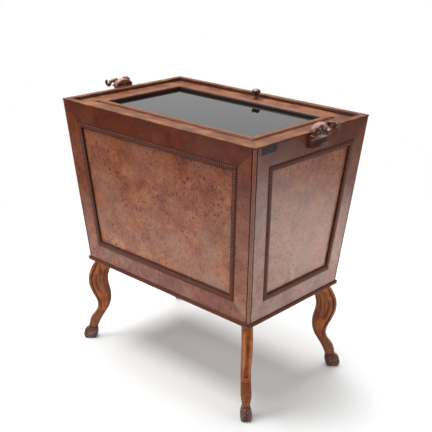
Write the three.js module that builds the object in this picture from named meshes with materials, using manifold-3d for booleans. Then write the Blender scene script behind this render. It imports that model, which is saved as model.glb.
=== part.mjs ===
// Cellarette: a tapered wine cooler on four hoofed legs, with a glazed lid on pivot hinges.
// Millimetres, +Z up. X runs along the long sides and Y from the hinge side (back) to the knob
// side (front). The origin is on the floor, under the middle of the case.
import * as THREE from 'three';
import { mergeVertices } from 'three/addons/utils/BufferGeometryUtils.js';
import Module from 'manifold-3d';

// Case: outer sizes at the rim and at the foot of the boards
const rimLength = 680;
const rimDepth = 446;
const rimHeight = 722;
const baseLength = 604;
const baseDepth = 364;
const baseHeight = 263;
const boardThickness = 18;

// Clearances: a glue line between fixed pieces, running room round moving ones, overrun of cuts
const glueGap = 0.3;
const lidGap = 1.2;
const pinClearance = 0.2;
const overrun = 5;

// Rim cap on the boards, and the round edge it has
const capThickness = 3.5;
const capRounding = 1.2;

// Bead in the arris of each corner
const cornerNotch = 9;
const cornerBeadSides = 12;

// Sunk panel in each board, with its moulding
const panelBorder = 50;
const panelTopBorder = 54;
const panelBottomBorder = 46;
const panelSink = 4;
const panelMouldingWidth = 15;
const panelMouldingProud = 2.4;
const panelMouldingQuirk = 2;
const beadArcSteps = 6;

// Bottom board and the double bead round its edge
const bottomThickness = 12;
const baseMouldingWidth = 14;
const baseMouldingProud = 3.5;
const baseMouldingGroove = 2.5;

// Legs
const legSweep = 60;
const legThickness = 27;
const legGrooveDepth = 3.2;
const legGrooveWidth = 5;
const outlineSamples = 240;
const legRings = 28;
const legSides = 16;
const hoofCleftDepth = 2;
const legSpigotRadius = 9;
const legSpigotLength = 10;
const legSpigotInset = 40;

// Lid. Its glazing moulding keeps a border to the rim, at the ends and along the sides.
const lidThickness = 20;
const lidDrop = 8;
const lidEndBorder = 62;
const lidSideBorder = 64;
const lidMouldingWidth = 24;
const lidMouldingProud = 3;
const glassSink = 7;
const glassThickness = 4;
const glassShelf = 12;
const glassLip = 6;
const lidEdgeSteps = 12;

// Knob on the lid
const knobHeight = 27.5;
const knobHeadRadius = 11.8;
const knobHeadHeight = 12.5;
const knobNeckRadius = 4.2;
const knobCollarRadius = 7.2;
const knobCollarHeight = 2.6;
const knobSpigotRadius = 4;
const knobSpigotLength = 10;
const knobSides = 20;
const knobHeadSteps = 8;

// Pivot hinges
const hingePlateLength = 54;
const hingePlateHeight = 17;
const hingePlateThickness = 2;
const hingePlateDrop = 4.5;
const hingePinRadius = 3;
const hingePinReach = 16;
const pinSides = 24;

// Ledge that carries the closed lid
const ledgeWidth = 12;
const ledgeHeight = 12;

// Liner and bottle divisions
const linerThickness = 1.5;
const divisionThickness = 6;
const divisionHeight = 190;
const cellsLong = 5;
const cellsDeep = 3;

// Carved handles: a bracket on the end board, and on it a ram's head with curled horns. Drops are
// measured down from the rim and reaches outwards from it.
const bracketWidth = 62;
const bracketDrop = 6;
const bracketHeight = 31;
const bracketLedgeReach = 17;
const bracketLedgeHeight = 6;
const bracketFootReach = 17;
const bracketFootHeight = 3;
const bracketWaist = 8;
const headReach = 41;
const headWidth = 24;
const headHeight = 28;
const headLift = 5;
const headSides = 16;
const hornSpread = 35;
const hornReach = 31;
const hornLift = 10.5;
const hornRadius = 7;
const hornThickness = 12.5;
const hornRootSpread = 23;
const hornRootReach = 9;
const hornTipSpread = 3;
const bracketSteps = 5;
const hornRings = 28;
const hornSides = 10;

// Screws that hold a handle from inside the case
const screwRadius = 2.2;
const screwHeadRadius = 4.4;
const screwHeadHeight = 2.4;
const screwSpacing = 36;
const screwBite = 7;
const screwDrop = 22;
const screwSink = 0.8;
const screwSides = 16;

const wasm = await Module();
wasm.setup();

const up = new THREE.Vector3(0, 0, 1);

// Finishes seen on the object
const finishes = {
  burrVeneer: { color: 0x9a5f44, roughness: 0.42, metalness: 0 },
  capWood: { color: 0xb9825f, roughness: 0.4, metalness: 0 },
  darkMoulding: { color: 0x4b241a, roughness: 0.45, metalness: 0 },
  carvedWood: { color: 0xa25c34, roughness: 0.5, metalness: 0 },
  innerWood: { color: 0x7b4a30, roughness: 0.7, metalness: 0 },
  blackGlass: { color: 0x0c0f0e, roughness: 0.03, metalness: 0 },
  iron: { color: 0x4a4b4f, roughness: 0.5, metalness: 0.9 },
  zinc: { color: 0x8c9092, roughness: 0.55, metalness: 0.9 },
};

// Outer half sizes of the tapered case at a height above the floor
function caseHalf(height) {
  const share = (height - baseHeight) / (rimHeight - baseHeight);
  return {
    length: THREE.MathUtils.lerp(baseLength, rimLength, share) / 2,
    depth: THREE.MathUtils.lerp(baseDepth, rimDepth, share) / 2,
  };
}

// Levels that several pieces share
const bottomHeight = baseHeight - bottomThickness;
const boardTop = rimHeight - capThickness - glueGap;
const lidTop = rimHeight - lidDrop;
const lidBottom = lidTop - lidThickness;
const glassTop = lidTop - glassSink;
const glassBottom = glassTop - glassThickness;
const ledgeTop = lidBottom - glueGap;
const linerTop = ledgeTop - ledgeHeight - glueGap;
const linerFloor = baseHeight + glueGap + linerThickness;
const pivotHeight = lidTop - lidThickness / 2;
const lidHalfLength = caseHalf(lidBottom).length - boardThickness - lidGap;
const lidHalfDepth = caseHalf(lidBottom).depth - boardThickness - lidGap;
const pivotInset = lidHalfDepth - lidThickness / 2;
const mouldingHalf = { length: rimLength / 2 - lidEndBorder, depth: rimDepth / 2 - lidSideBorder };
const glassHalfLength = mouldingHalf.length - lidMouldingWidth + glassLip;
const glassHalfDepth = mouldingHalf.depth - lidMouldingWidth + glassLip;

// The four walls, each shaped with its outer face towards -Y and then turned to its place
const walls = [
  { name: 'back', long: true, turn: 0 },
  { name: 'right', long: false, turn: Math.PI / 2 },
  { name: 'front', long: true, turn: Math.PI },
  { name: 'left', long: false, turn: -Math.PI / 2 },
];

const corners = [
  { name: 'back_left', x: -1, y: -1 },
  { name: 'back_right', x: 1, y: -1 },
  { name: 'front_right', x: 1, y: 1 },
  { name: 'front_left', x: -1, y: 1 },
];

const cellarette = new THREE.Group();

// Adds a piece to a group under its own name
function addPiece(name, geometry, finish, parent = cellarette) {
  const mesh = new THREE.Mesh(geometry, new THREE.MeshStandardMaterial(finishes[finish]));
  mesh.name = name;
  parent.add(mesh);
  return mesh;
}

// Six times the signed volume of a triangle mesh, which is negative when it is inside out
function signedVolume(positions, index) {
  const [a, b, c] = [new THREE.Vector3(), new THREE.Vector3(), new THREE.Vector3()];
  let sum = 0;
  for (let i = 0; i < index.length; i += 3) {
    a.fromArray(positions, index[i] * 3);
    b.fromArray(positions, index[i + 1] * 3);
    c.fromArray(positions, index[i + 2] * 3);
    sum += a.dot(b.cross(c));
  }
  return sum;
}

// Triangles that close a flat ring of points, as indices into that ring
function capTriangles(ring) {
  const middle = ring.reduce((sum, p) => sum.add(p), new THREE.Vector3()).divideScalar(ring.length);
  const normal = new THREE.Vector3();
  ring.forEach((p, i) => {
    const next = ring[(i + 1) % ring.length];
    normal.add(p.clone().sub(middle).cross(next.clone().sub(middle)));
  });
  normal.normalize();
  const side = ring[1].clone().sub(ring[0]).normalize();
  const across = normal.clone().cross(side);
  const flat = ring.map((p) => new THREE.Vector2(p.dot(side), p.dot(across)));
  return THREE.ShapeUtils.triangulateShape(flat, []).map(([i, j, k]) => {
    const turn = flat[j].clone().sub(flat[i]).cross(flat[k].clone().sub(flat[i]));
    return turn > 0 ? [i, j, k] : [i, k, j];
  });
}

// Skins a solid over rings of points that match one by one. A closed loft joins its last ring to
// its first, and an open one gets a flat cap at each end.
function loft(rings, closed = false) {
  const count = rings[0].length;
  const positions = rings.flat().flatMap((p) => p.toArray());
  const index = [];
  const spans = closed ? rings.length : rings.length - 1;
  for (let ring = 0; ring < spans; ring += 1) {
    const low = ring * count;
    const high = ((ring + 1) % rings.length) * count;
    for (let i = 0; i < count; i += 1) {
      const j = (i + 1) % count;
      index.push(low + i, low + j, high + j);
      index.push(low + i, high + j, high + i);
    }
  }
  if (!closed) {
    const last = (rings.length - 1) * count;
    for (const [i, j, k] of capTriangles(rings[0])) index.push(i, k, j);
    for (const [i, j, k] of capTriangles(rings.at(-1))) index.push(last + i, last + j, last + k);
  }
  if (signedVolume(positions, index) < 0) index.reverse();
  const geometry = new THREE.BufferGeometry();
  geometry.setAttribute('position', new THREE.Float32BufferAttribute(positions, 3));
  geometry.setIndex(index);
  return geometry;
}

// Turns a closed geometry into a solid that can be joined and cut
function toSolid(geometry) {
  const bare = geometry.clone();
  bare.deleteAttribute('normal');
  bare.deleteAttribute('uv');
  const merged = mergeVertices(bare);
  return new wasm.Manifold(new wasm.Mesh({
    numProp: 3,
    vertProperties: new Float32Array(merged.attributes.position.array),
    triVerts: new Uint32Array(merged.index.array),
  }));
}

function toGeometry(solid) {
  const mesh = solid.getMesh();
  const geometry = new THREE.BufferGeometry();
  geometry.setAttribute('position', new THREE.BufferAttribute(mesh.vertProperties, 3));
  geometry.setIndex(new THREE.BufferAttribute(mesh.triVerts, 1));
  return geometry;
}

function cut(geometry, ...tools) {
  return toGeometry(tools.reduce((solid, tool) => solid.subtract(toSolid(tool)), toSolid(geometry)));
}

function join(...geometries) {
  return toGeometry(geometries.map(toSolid).reduce((solid, next) => solid.add(next)));
}

function common(geometry, tool) {
  return toGeometry(toSolid(geometry).intersect(toSolid(tool)));
}

// An upright cylinder, standing on z = 0
function post(radius, height, sides) {
  return new THREE.CylinderGeometry(radius, radius, height, sides)
    .rotateX(Math.PI / 2)
    .translate(0, 0, height / 2);
}

// A cylinder lying along X from the origin
function rod(radius, length, sides) {
  return post(radius, length, sides).rotateY(Math.PI / 2);
}

// A block between two levels, centred on X and Y
function block(length, depth, low, high) {
  return new THREE.BoxGeometry(length, depth, high - low).translate(0, 0, (low + high) / 2);
}

// A rectangle of four corners at one level, running counterclockwise from above
function rectangle(halfLength, halfDepth, height) {
  return [
    new THREE.Vector3(-halfLength, -halfDepth, height),
    new THREE.Vector3(halfLength, -halfDepth, height),
    new THREE.Vector3(halfLength, halfDepth, height),
    new THREE.Vector3(-halfLength, halfDepth, height),
  ];
}

// One level of a mitred wall on the side that faces -Y: its outer face lies `outset` outside the
// given half sizes and its inner face `depth` inside them
function wallRing(wall, half, height, outset, depth) {
  const along = wall.long ? half.length : half.depth;
  const out = wall.long ? half.depth : half.length;
  const outer = along + outset - glueGap;
  const inner = along - depth - glueGap;
  return [
    new THREE.Vector3(-outer, -out - outset, height),
    new THREE.Vector3(outer, -out - outset, height),
    new THREE.Vector3(inner, -out + depth, height),
    new THREE.Vector3(-inner, -out + depth, height),
  ];
}

// The slope of a wall's outer face, as its outward normal
function wallNormal(wall) {
  const low = caseHalf(baseHeight);
  const high = caseHalf(rimHeight);
  const lean = wall.long ? high.depth - low.depth : high.length - low.length;
  return new THREE.Vector3(0, -(rimHeight - baseHeight), -lean).normalize();
}

// A point on a wall's outer face at a height, a given way in from the case's side edge
function wallPoint(wall, height, border, side) {
  const half = caseHalf(height);
  const along = wall.long ? half.length : half.depth;
  const out = wall.long ? half.depth : half.length;
  return new THREE.Vector3(side * (along - border), -out, height);
}

// The outline of a wall's sunk panel, counterclockwise as seen from outside
function panelOutline(wall, inset = 0) {
  const low = baseHeight + panelBottomBorder + inset;
  const high = rimHeight - panelTopBorder - inset;
  const border = panelBorder + inset;
  return [
    wallPoint(wall, low, border, -1),
    wallPoint(wall, low, border, 1),
    wallPoint(wall, high, border, 1),
    wallPoint(wall, high, border, -1),
  ];
}

// Carries a profile round a frame whose corners are given at its outer and its inner edge. The
// profile's x is its share of the way inwards, and its y the height along the normal.
function frameRings(outer, inner, normal, profile) {
  return outer.map((corner, i) => profile.map(([share, height]) => corner.clone()
    .lerp(inner[i], share)
    .addScaledVector(normal, height)));
}

// A half-round bead as profile points, from one edge to the other
function beadProfile(start, end, low, rise) {
  return Array.from({ length: beadArcSteps + 1 }, (_, i) => {
    const angle = (Math.PI * i) / beadArcSteps;
    const middle = (start + end) / 2;
    return [middle - Math.cos(angle) * (end - start) / 2, low + Math.sin(angle) * rise];
  });
}

// Case boards, mitred at the corners and notched there for the corner beads
function boardRing(wall, height) {
  const half = caseHalf(height);
  const along = (wall.long ? half.length : half.depth) - glueGap;
  const out = wall.long ? half.depth : half.length;
  return [
    new THREE.Vector3(-along + cornerNotch, -out, height),
    new THREE.Vector3(along - cornerNotch, -out, height),
    new THREE.Vector3(along - cornerNotch, -out + cornerNotch, height),
    new THREE.Vector3(along - boardThickness, -out + boardThickness, height),
    new THREE.Vector3(-along + boardThickness, -out + boardThickness, height),
    new THREE.Vector3(-along + cornerNotch, -out + cornerNotch, height),
  ];
}

// The pocket that sinks the panel into its board
function panelPocket(wall) {
  const normal = wallNormal(wall);
  const outline = panelOutline(wall);
  const shifted = (distance) => outline.map((p) => p.clone().addScaledVector(normal, distance));
  return loft([shifted(overrun), shifted(-panelSink)]);
}

// Where the hinge plate sits on an end board, along the board from its middle
const hingePlateMiddle = pivotInset - hingePlateLength / 2 + hingePlateHeight / 2;
const hingePlateHigh = rimHeight - hingePlateDrop;
const hingePlateLow = hingePlateHigh - hingePlateHeight;

// A plate let into an end board's outer face, or the recess for it when it is grown by a gap
function hingeInlay(wall, side, grow, front) {
  const normal = wallNormal(wall);
  const halfLength = hingePlateLength / 2 + grow;
  const face = (along, height) => {
    const out = caseHalf(height).length;
    return new THREE.Vector3(side * hingePlateMiddle + along, -out, height);
  };
  const outline = [
    face(-halfLength, hingePlateLow - grow),
    face(halfLength, hingePlateLow - grow),
    face(halfLength, hingePlateHigh + grow),
    face(-halfLength, hingePlateHigh + grow),
  ];
  const shifted = (distance) => outline.map((p) => p.clone().addScaledVector(normal, distance));
  return loft([shifted(front), shifted(-hingePlateThickness - grow)]);
}

// The pivot pin's path: from the plate's outer face, square to the lid's end
const pinOuter = caseHalf(pivotHeight).length;
const pinInner = lidHalfLength - hingePinReach;

// A hole along the pin's axis through a wall that faces -Y, at a place along that wall
function pinHole(side, radius) {
  return rod(radius, pinOuter - pinInner + overrun, pinSides)
    .rotateZ(Math.PI / 2)
    .translate(side * pivotInset, -pinOuter - overrun, pivotHeight);
}

// Which way along each end board the hinge side lies
function hingeSide(wall) {
  return wall.name === 'right' ? -1 : 1;
}

// Screws that hold a handle from inside the case: places along the board, square to X
const screwHeight = rimHeight - screwDrop;
const screwPlaces = [-screwSpacing / 2, screwSpacing / 2];
const screwInner = caseHalf(screwHeight).length - boardThickness + screwSink;
const screwLength = boardThickness - screwSink + screwBite;

// A screw, or its hole when it is grown by a gap and its head's seat runs out of the wood
function screw(grow, run) {
  const head = rod(screwHeadRadius + grow, screwHeadHeight + grow + run, screwSides)
    .translate(-run, 0, 0);
  const shank = rod(screwRadius + grow, screwLength + grow, screwSides);
  return join(head, shank);
}

// A screw's hole in a wall that faces -Y
function screwHole(place) {
  return screw(glueGap, overrun)
    .rotateZ(-Math.PI / 2)
    .translate(place, -screwInner, screwHeight);
}

function board(wall) {
  const low = baseHeight + glueGap;
  const slab = loft([boardRing(wall, low), boardRing(wall, boardTop)]);
  if (wall.long) return cut(slab, panelPocket(wall));
  const side = hingeSide(wall);
  return cut(
    slab,
    panelPocket(wall),
    hingeInlay(wall, side, glueGap, overrun),
    pinHole(side, hingePinRadius + glueGap),
    ...screwPlaces.map(screwHole),
  );
}

// Cap along the top of a board, with its outer top edge rounded
function rimCap(wall) {
  const half = caseHalf(rimHeight);
  const low = rimHeight - capThickness;
  return loft([
    wallRing(wall, half, low, 0, boardThickness),
    wallRing(wall, half, rimHeight - capRounding, 0, boardThickness),
    wallRing(wall, half, rimHeight, -capRounding, boardThickness),
  ]);
}

// Moulding round a sunk panel: a half-round bead between two flat quirks
function panelMoulding(wall) {
  const quirkShare = panelMouldingQuirk / panelMouldingWidth;
  const floor = -panelSink + glueGap;
  const profile = [
    [0, floor],
    [0, 0],
    ...beadProfile(quirkShare, 1 - quirkShare, 0, panelMouldingProud),
    [1, 0],
    [1, floor],
  ];
  const outer = panelOutline(wall, glueGap);
  const inner = panelOutline(wall, panelMouldingWidth);
  return loft(frameRings(outer, inner, wallNormal(wall), profile), true);
}

// Double bead along the edge of the bottom board
function baseMoulding(wall) {
  const half = caseHalf(baseHeight);
  const beadRise = baseMouldingProud + baseMouldingGroove;
  const beads = [bottomHeight, bottomHeight + bottomThickness / 2].flatMap((low) => (
    beadProfile(low, low + bottomThickness / 2, -baseMouldingGroove, beadRise)
  ));
  const unique = beads.filter(([height], i) => i === 0 || height > beads[i - 1][0]);
  return loft(unique.map(([height, outset]) => (
    wallRing(wall, half, height, outset, baseMouldingWidth - baseMouldingProud)
  )));
}

// Ledge strip inside a board, under the lid's edge
function lidLedge(wall) {
  const depth = boardThickness + glueGap;
  return loft([ledgeTop - ledgeHeight, ledgeTop].map((height) => (
    wallRing(wall, caseHalf(height), height, -depth, depth + ledgeWidth)
  )));
}

for (const wall of walls) {
  const side = new THREE.Group();
  side.rotation.z = wall.turn;
  cellarette.add(side);
  addPiece(`${wall.name}_board`, board(wall), 'burrVeneer', side);
  addPiece(`${wall.name}_rim_cap`, rimCap(wall), 'capWood', side);
  addPiece(`${wall.name}_panel_moulding`, panelMoulding(wall), 'darkMoulding', side);
  addPiece(`${wall.name}_base_moulding`, baseMoulding(wall), 'darkMoulding', side);
  addPiece(`${wall.name}_lid_ledge`, lidLedge(wall), 'innerWood', side);
}

// Round bead that lies in the notch of a corner
function cornerBead(corner) {
  const radius = (cornerNotch - glueGap) / 2;
  const levels = [baseHeight + glueGap, boardTop];
  return loft(levels.map((height) => {
    const half = caseHalf(height);
    const x = corner.x * (half.length - radius);
    const y = corner.y * (half.depth - radius);
    return Array.from({ length: cornerBeadSides }, (_, i) => {
      const angle = (2 * Math.PI * i) / cornerBeadSides;
      return new THREE.Vector3(x + radius * Math.cos(angle), y + radius * Math.sin(angle), height);
    });
  }));
}

for (const corner of corners) {
  addPiece(`${corner.name}_corner_bead`, cornerBead(corner), 'darkMoulding');
}

// Legs. Each row is a share of the leg's height, then its inner and outer edge as shares of its
// sweep, measured along the diagonal outwards from the case's bottom corner.
const legHeight = bottomHeight - glueGap;
const legOutlineShares = [
  [1, -1.06, -0.34],
  [0.92, -1.01, -0.1],
  [0.84, -0.89, 0.07],
  [0.765, -0.84, 0.12],
  [0.68, -0.88, 0.09],
  [0.59, -0.96, -0.05],
  [0.5, -0.96, -0.24],
  [0.42, -0.87, -0.3],
  [0.34, -0.68, -0.18],
  [0.26, -0.48, 0.06],
  [0.19, -0.35, 0.16],
  [0.145, -0.28, 0.19],
  [0.105, -0.28, 0.38],
  [0.06, -0.27, 0.44],
  [0.025, -0.22, 0.45],
  [0, -0.15, 0.39],
];
const legWidthShares = [
  [1, 1.05],
  [0.6, 1],
  [0.36, 0.97],
  [0.25, 1],
  [0.19, 0.9],
  [0.145, 0.68],
  [0.1, 0.98],
  [0.05, 1.12],
  [0, 0.98],
];
const hoofTopShare = 0.13;
const grooveTopShare = 0.93;
const grooveFadeShare = 0.08;
const cornerSquareness = 0.55;

// Value of a table of shares at a share of the height, on a smooth curve through its rows
function shareCurve(rows, column) {
  const points = rows.map((row) => new THREE.Vector2(row[column], row[0]));
  const curve = new THREE.SplineCurve(points);
  const samples = curve.getPoints(outlineSamples);
  return (share) => {
    const next = samples.findIndex((p) => p.y <= share);
    if (next <= 0) return next === 0 ? samples[0].x : samples.at(-1).x;
    const [a, b] = [samples[next - 1], samples[next]];
    return THREE.MathUtils.mapLinear(share, a.y, b.y, a.x, b.x);
  };
}

const legInner = shareCurve(legOutlineShares, 1);
const legOuter = shareCurve(legOutlineShares, 2);
const legWidth = shareCurve(legWidthShares, 1);

// How strongly the groove down the leg's outer edge shows at a share of the height
function grooveShare(share) {
  const low = THREE.MathUtils.smoothstep(share, hoofTopShare, hoofTopShare + grooveFadeShare);
  const high = 1 - THREE.MathUtils.smoothstep(share, grooveTopShare - grooveFadeShare, grooveTopShare);
  return low * high;
}

// One level of a leg: a rounded rectangle with a groove, or a hoof's cleft, in its outer edge
function legRing(share) {
  const inner = legInner(share) * legSweep;
  const outer = legOuter(share) * legSweep;
  const halfDepth = (outer - inner) / 2;
  const halfWidth = (legWidth(share) * legThickness) / 2;
  const depthOfGroove = share < hoofTopShare
    ? hoofCleftDepth
    : legGrooveDepth * grooveShare(share);
  return Array.from({ length: legSides }, (_, i) => {
    const angle = (2 * Math.PI * i) / legSides;
    const [c, s] = [Math.cos(angle), Math.sin(angle)];
    const round = (value) => Math.sign(value) * Math.abs(value) ** cornerSquareness;
    const across = halfWidth * round(s);
    const groove = c > 0 ? depthOfGroove * Math.exp(-((across / legGrooveWidth) ** 2)) : 0;
    const along = (inner + outer) / 2 + halfDepth * round(c) - groove;
    return new THREE.Vector3(along, across, share * legHeight);
  });
}

// A carved leg, S-shaped seen from its side, with the spigot that is glued into the bottom board
function leg() {
  const shares = Array.from({ length: legRings + 1 }, (_, i) => i / legRings);
  const spigot = post(legSpigotRadius, legSpigotLength + legSpigotRadius, legSides)
    .translate(-legSpigotInset, 0, legHeight - legSpigotRadius);
  return join(loft(shares.map(legRing)), spigot);
}

// A corner's diagonal, as the turn that carries +X onto it
function cornerTurn(corner) {
  return Math.atan2(corner.y, corner.x);
}

for (const corner of corners) {
  const mesh = addPiece(`${corner.name}_leg`, leg(), 'carvedWood');
  mesh.position.set((corner.x * baseLength) / 2, (corner.y * baseDepth) / 2, 0);
  mesh.rotation.z = cornerTurn(corner);
}

// Bottom board, with a hole for each leg's spigot
function bottomBoard() {
  const inset = 2 * (baseMouldingWidth - baseMouldingProud + glueGap);
  const slab = block(baseLength - inset, baseDepth - inset, bottomHeight, baseHeight);
  const holes = corners.map((corner) => post(legSpigotRadius + glueGap, legSpigotLength, legSides)
    .translate(-legSpigotInset, 0, bottomHeight)
    .rotateZ(cornerTurn(corner))
    .translate((corner.x * baseLength) / 2, (corner.y * baseDepth) / 2, 0));
  return cut(slab, ...holes);
}

addPiece('bottom_board', bottomBoard(), 'innerWood');

// Half sizes inside the boards, a given way in from their inner faces
function insideHalf(height, inset) {
  const half = caseHalf(height);
  return {
    length: half.length - boardThickness - inset,
    depth: half.depth - boardThickness - inset,
  };
}

// Tapered box that fills the inside of the boards between two levels
function insideBlock(low, high, inset) {
  return loft([low, high].map((height) => {
    const half = insideHalf(height, inset);
    return rectangle(half.length, half.depth, height);
  }));
}

// Sheet liner: an open tapered tray inside the boards
function liner() {
  const tray = insideBlock(baseHeight + glueGap, linerTop, glueGap);
  const hollow = insideBlock(linerFloor, linerTop + overrun, glueGap + linerThickness);
  return cut(tray, hollow);
}

addPiece('zinc_liner', liner(), 'zinc');

// Bottle divisions: upright boards halved over each other, standing on the liner's floor
const divisionLow = linerFloor + glueGap;
const divisionHigh = divisionLow + divisionHeight;
const divisionMiddle = (divisionLow + divisionHigh) / 2;
const cellHalf = insideHalf(divisionLow, glueGap + linerThickness);
const cellLength = (2 * cellHalf.length) / cellsLong;
const cellDepth = (2 * cellHalf.depth) / cellsDeep;
const crossPlaces = Array.from({ length: cellsLong - 1 }, (_, i) => (
  (i + 1) * cellLength - cellHalf.length
));
const longPlaces = Array.from({ length: cellsDeep - 1 }, (_, i) => (
  (i + 1) * cellDepth - cellHalf.depth
));

// A sheet of the divisions, tapered to the liner: along X at a place in Y, or the other way round
function division(isLong, place) {
  const inset = 2 * glueGap + linerThickness;
  const space = insideBlock(divisionLow, divisionHigh, inset);
  const widest = 2 * insideHalf(divisionHigh, 0).length;
  const sheet = isLong
    ? block(widest, divisionThickness, divisionLow, divisionHigh).translate(0, place, 0)
    : block(divisionThickness, widest, divisionLow, divisionHigh).translate(place, 0, 0);
  const slotWidth = divisionThickness + 2 * glueGap;
  const slotLow = isLong ? divisionMiddle - glueGap / 2 : divisionLow - overrun;
  const slotHigh = isLong ? divisionHigh + overrun : divisionMiddle + glueGap / 2;
  const slots = (isLong ? crossPlaces : longPlaces).map((crossing) => (
    block(slotWidth, slotWidth, slotLow, slotHigh)
      .translate(isLong ? crossing : place, isLong ? place : crossing, 0)
  ));
  return cut(common(sheet, space), ...slots);
}

longPlaces.forEach((place, i) => {
  addPiece(`long_division_${i + 1}`, division(true, place), 'innerWood');
});
crossPlaces.forEach((place, i) => {
  addPiece(`cross_division_${i + 1}`, division(false, place), 'innerWood');
});

// Lid, shaped closed. Its hinge edge is half round about the pivot, so that it turns in its seat.
const lid = new THREE.Group();
cellarette.add(lid);

function lidEnvelope() {
  const radius = lidThickness / 2;
  const outline = new THREE.Shape();
  outline.moveTo(lidHalfDepth + overrun, pivotHeight - radius);
  outline.lineTo(lidHalfDepth + overrun, pivotHeight + radius);
  outline.lineTo(-pivotInset, pivotHeight + radius);
  outline.absarc(-pivotInset, pivotHeight, radius, Math.PI / 2, (3 * Math.PI) / 2, false);
  const reach = lidHalfLength + overrun;
  return new THREE.ExtrudeGeometry(outline, {
    depth: 2 * reach,
    bevelEnabled: false,
    curveSegments: lidEdgeSteps,
  }).rotateX(Math.PI / 2).rotateZ(Math.PI / 2).translate(-reach, 0, 0);
}

// A frame piece between two neighbouring corners, drawn back a glue line from each mitre
function frameLength(rings, i) {
  const [start, end] = [rings[i], rings[(i + 1) % rings.length]];
  const along = end[0].clone().sub(start[0]).normalize();
  return loft([
    start.map((p) => p.clone().addScaledVector(along, glueGap / 2)),
    end.map((p) => p.clone().addScaledVector(along, -glueGap / 2)),
  ]);
}

// Rails: a rebate takes the glass, and its shelf carries it
const glassSeat = glassBottom - glueGap;
const openingHalfLength = glassHalfLength - glassShelf;
const openingHalfDepth = glassHalfDepth - glassShelf;
const rebateGap = glueGap + glassHalfLength;
const rebateShare = (lidHalfLength - rebateGap) / (lidHalfLength - openingHalfLength);
const railProfile = [
  [0, -lidThickness],
  [1, -lidThickness],
  [1, glassSeat - lidTop],
  [rebateShare, glassSeat - lidTop],
  [rebateShare, 0],
  [0, 0],
];
const railRings = frameRings(
  rectangle(lidHalfLength, lidHalfDepth, lidTop),
  rectangle(openingHalfLength, openingHalfDepth, lidTop),
  up,
  railProfile,
);

// The hole for a pivot pin in each end of the lid
function lidPinHole(side) {
  return rod(hingePinRadius + pinClearance, hingePinReach + glueGap + overrun, pinSides)
    .translate(lidHalfLength - hingePinReach - glueGap, 0, 0)
    .rotateZ(side > 0 ? 0 : Math.PI)
    .translate(0, -pivotInset, pivotHeight);
}

const knobPlace = new THREE.Vector3(0, (lidHalfDepth + mouldingHalf.depth) / 2, lidTop);

function lidRail(wall, i) {
  const rail = common(frameLength(railRings, i), lidEnvelope());
  if (wall.name === 'front') {
    const hole = post(knobSpigotRadius + glueGap, knobSpigotLength + overrun, knobSides)
      .translate(knobPlace.x, knobPlace.y, lidTop - knobSpigotLength);
    return cut(rail, hole);
  }
  return cut(rail, lidPinHole(-1), lidPinHole(1));
}

// Glazing moulding: its flat lies on the rails and its inner leg holds the glass down
const mouldingLegShare = 1 - (glassLip - glueGap) / lidMouldingWidth;
const mouldingEdgeShare = 0.12;
const mouldingProfile = [
  [0, glueGap],
  [mouldingLegShare, glueGap],
  [mouldingLegShare, glassTop - lidTop + glueGap],
  [1, glassTop - lidTop + glueGap],
  [1, lidMouldingProud / 2],
  [1 - mouldingEdgeShare, lidMouldingProud],
  [mouldingEdgeShare, lidMouldingProud],
  [0, lidMouldingProud / 2],
];
const mouldingRings = frameRings(
  rectangle(mouldingHalf.length, mouldingHalf.depth, lidTop),
  rectangle(mouldingHalf.length - lidMouldingWidth, mouldingHalf.depth - lidMouldingWidth, lidTop),
  up,
  mouldingProfile,
);

walls.forEach((wall, i) => {
  addPiece(`lid_${wall.name}_rail`, lidRail(wall, i), 'capWood', lid);
  addPiece(`lid_${wall.name}_moulding`, frameLength(mouldingRings, i), 'darkMoulding', lid);
});

const glass = block(2 * glassHalfLength, 2 * glassHalfDepth, glassBottom, glassTop);
addPiece('lid_glass', glass, 'blackGlass', lid);

const backing = block(
  2 * (openingHalfLength - glueGap),
  2 * (openingHalfDepth - glueGap),
  lidBottom,
  glassBottom - glueGap,
);
addPiece('lid_backing_board', backing, 'innerWood', lid);

// Turned knob: spigot, collar, neck and mushroom head. Each row of the head is a share of its
// radius and of its height.
const knobHeadShares = [
  [0.86, 0.14],
  [1, 0.42],
  [0.72, 0.84],
  [0, 1],
];

function knob() {
  const headLow = knobHeight - knobHeadHeight;
  const neckLow = knobCollarHeight + (headLow - knobCollarHeight) / 2;
  const head = new THREE.SplineCurve([
    new THREE.Vector2(knobNeckRadius, headLow),
    ...knobHeadShares.map(([radiusShare, heightShare]) => (
      new THREE.Vector2(radiusShare * knobHeadRadius, headLow + heightShare * knobHeadHeight)
    )),
  ]);
  const outline = [
    new THREE.Vector2(0, -knobSpigotLength + glueGap),
    new THREE.Vector2(knobSpigotRadius, -knobSpigotLength + glueGap),
    new THREE.Vector2(knobSpigotRadius, glueGap),
    new THREE.Vector2(knobCollarRadius, glueGap),
    new THREE.Vector2(knobCollarRadius, knobCollarHeight),
    new THREE.Vector2(knobNeckRadius, neckLow),
    ...head.getPoints(knobHeadSteps),
  ];
  return new THREE.LatheGeometry(outline, knobSides).rotateX(Math.PI / 2);
}

const knobMesh = addPiece('lid_knob', knob(), 'carvedWood', lid);
knobMesh.position.copy(knobPlace);

// Pivot hinges: a plate let into each end, and the pin riveted in it
for (const wall of walls.filter((one) => !one.long)) {
  const side = hingeSide(wall);
  const group = new THREE.Group();
  group.rotation.z = wall.turn;
  cellarette.add(group);
  const plate = cut(hingeInlay(wall, side, 0, 0), pinHole(side, hingePinRadius + glueGap));
  addPiece(`${wall.name}_hinge_plate`, plate, 'iron', group);
  const pin = rod(hingePinRadius, pinOuter - pinInner, pinSides)
    .rotateZ(Math.PI / 2)
    .translate(side * pivotInset, -pinOuter, pivotHeight);
  addPiece(`${wall.name}_hinge_pin`, pin, 'iron', group);
}

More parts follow.
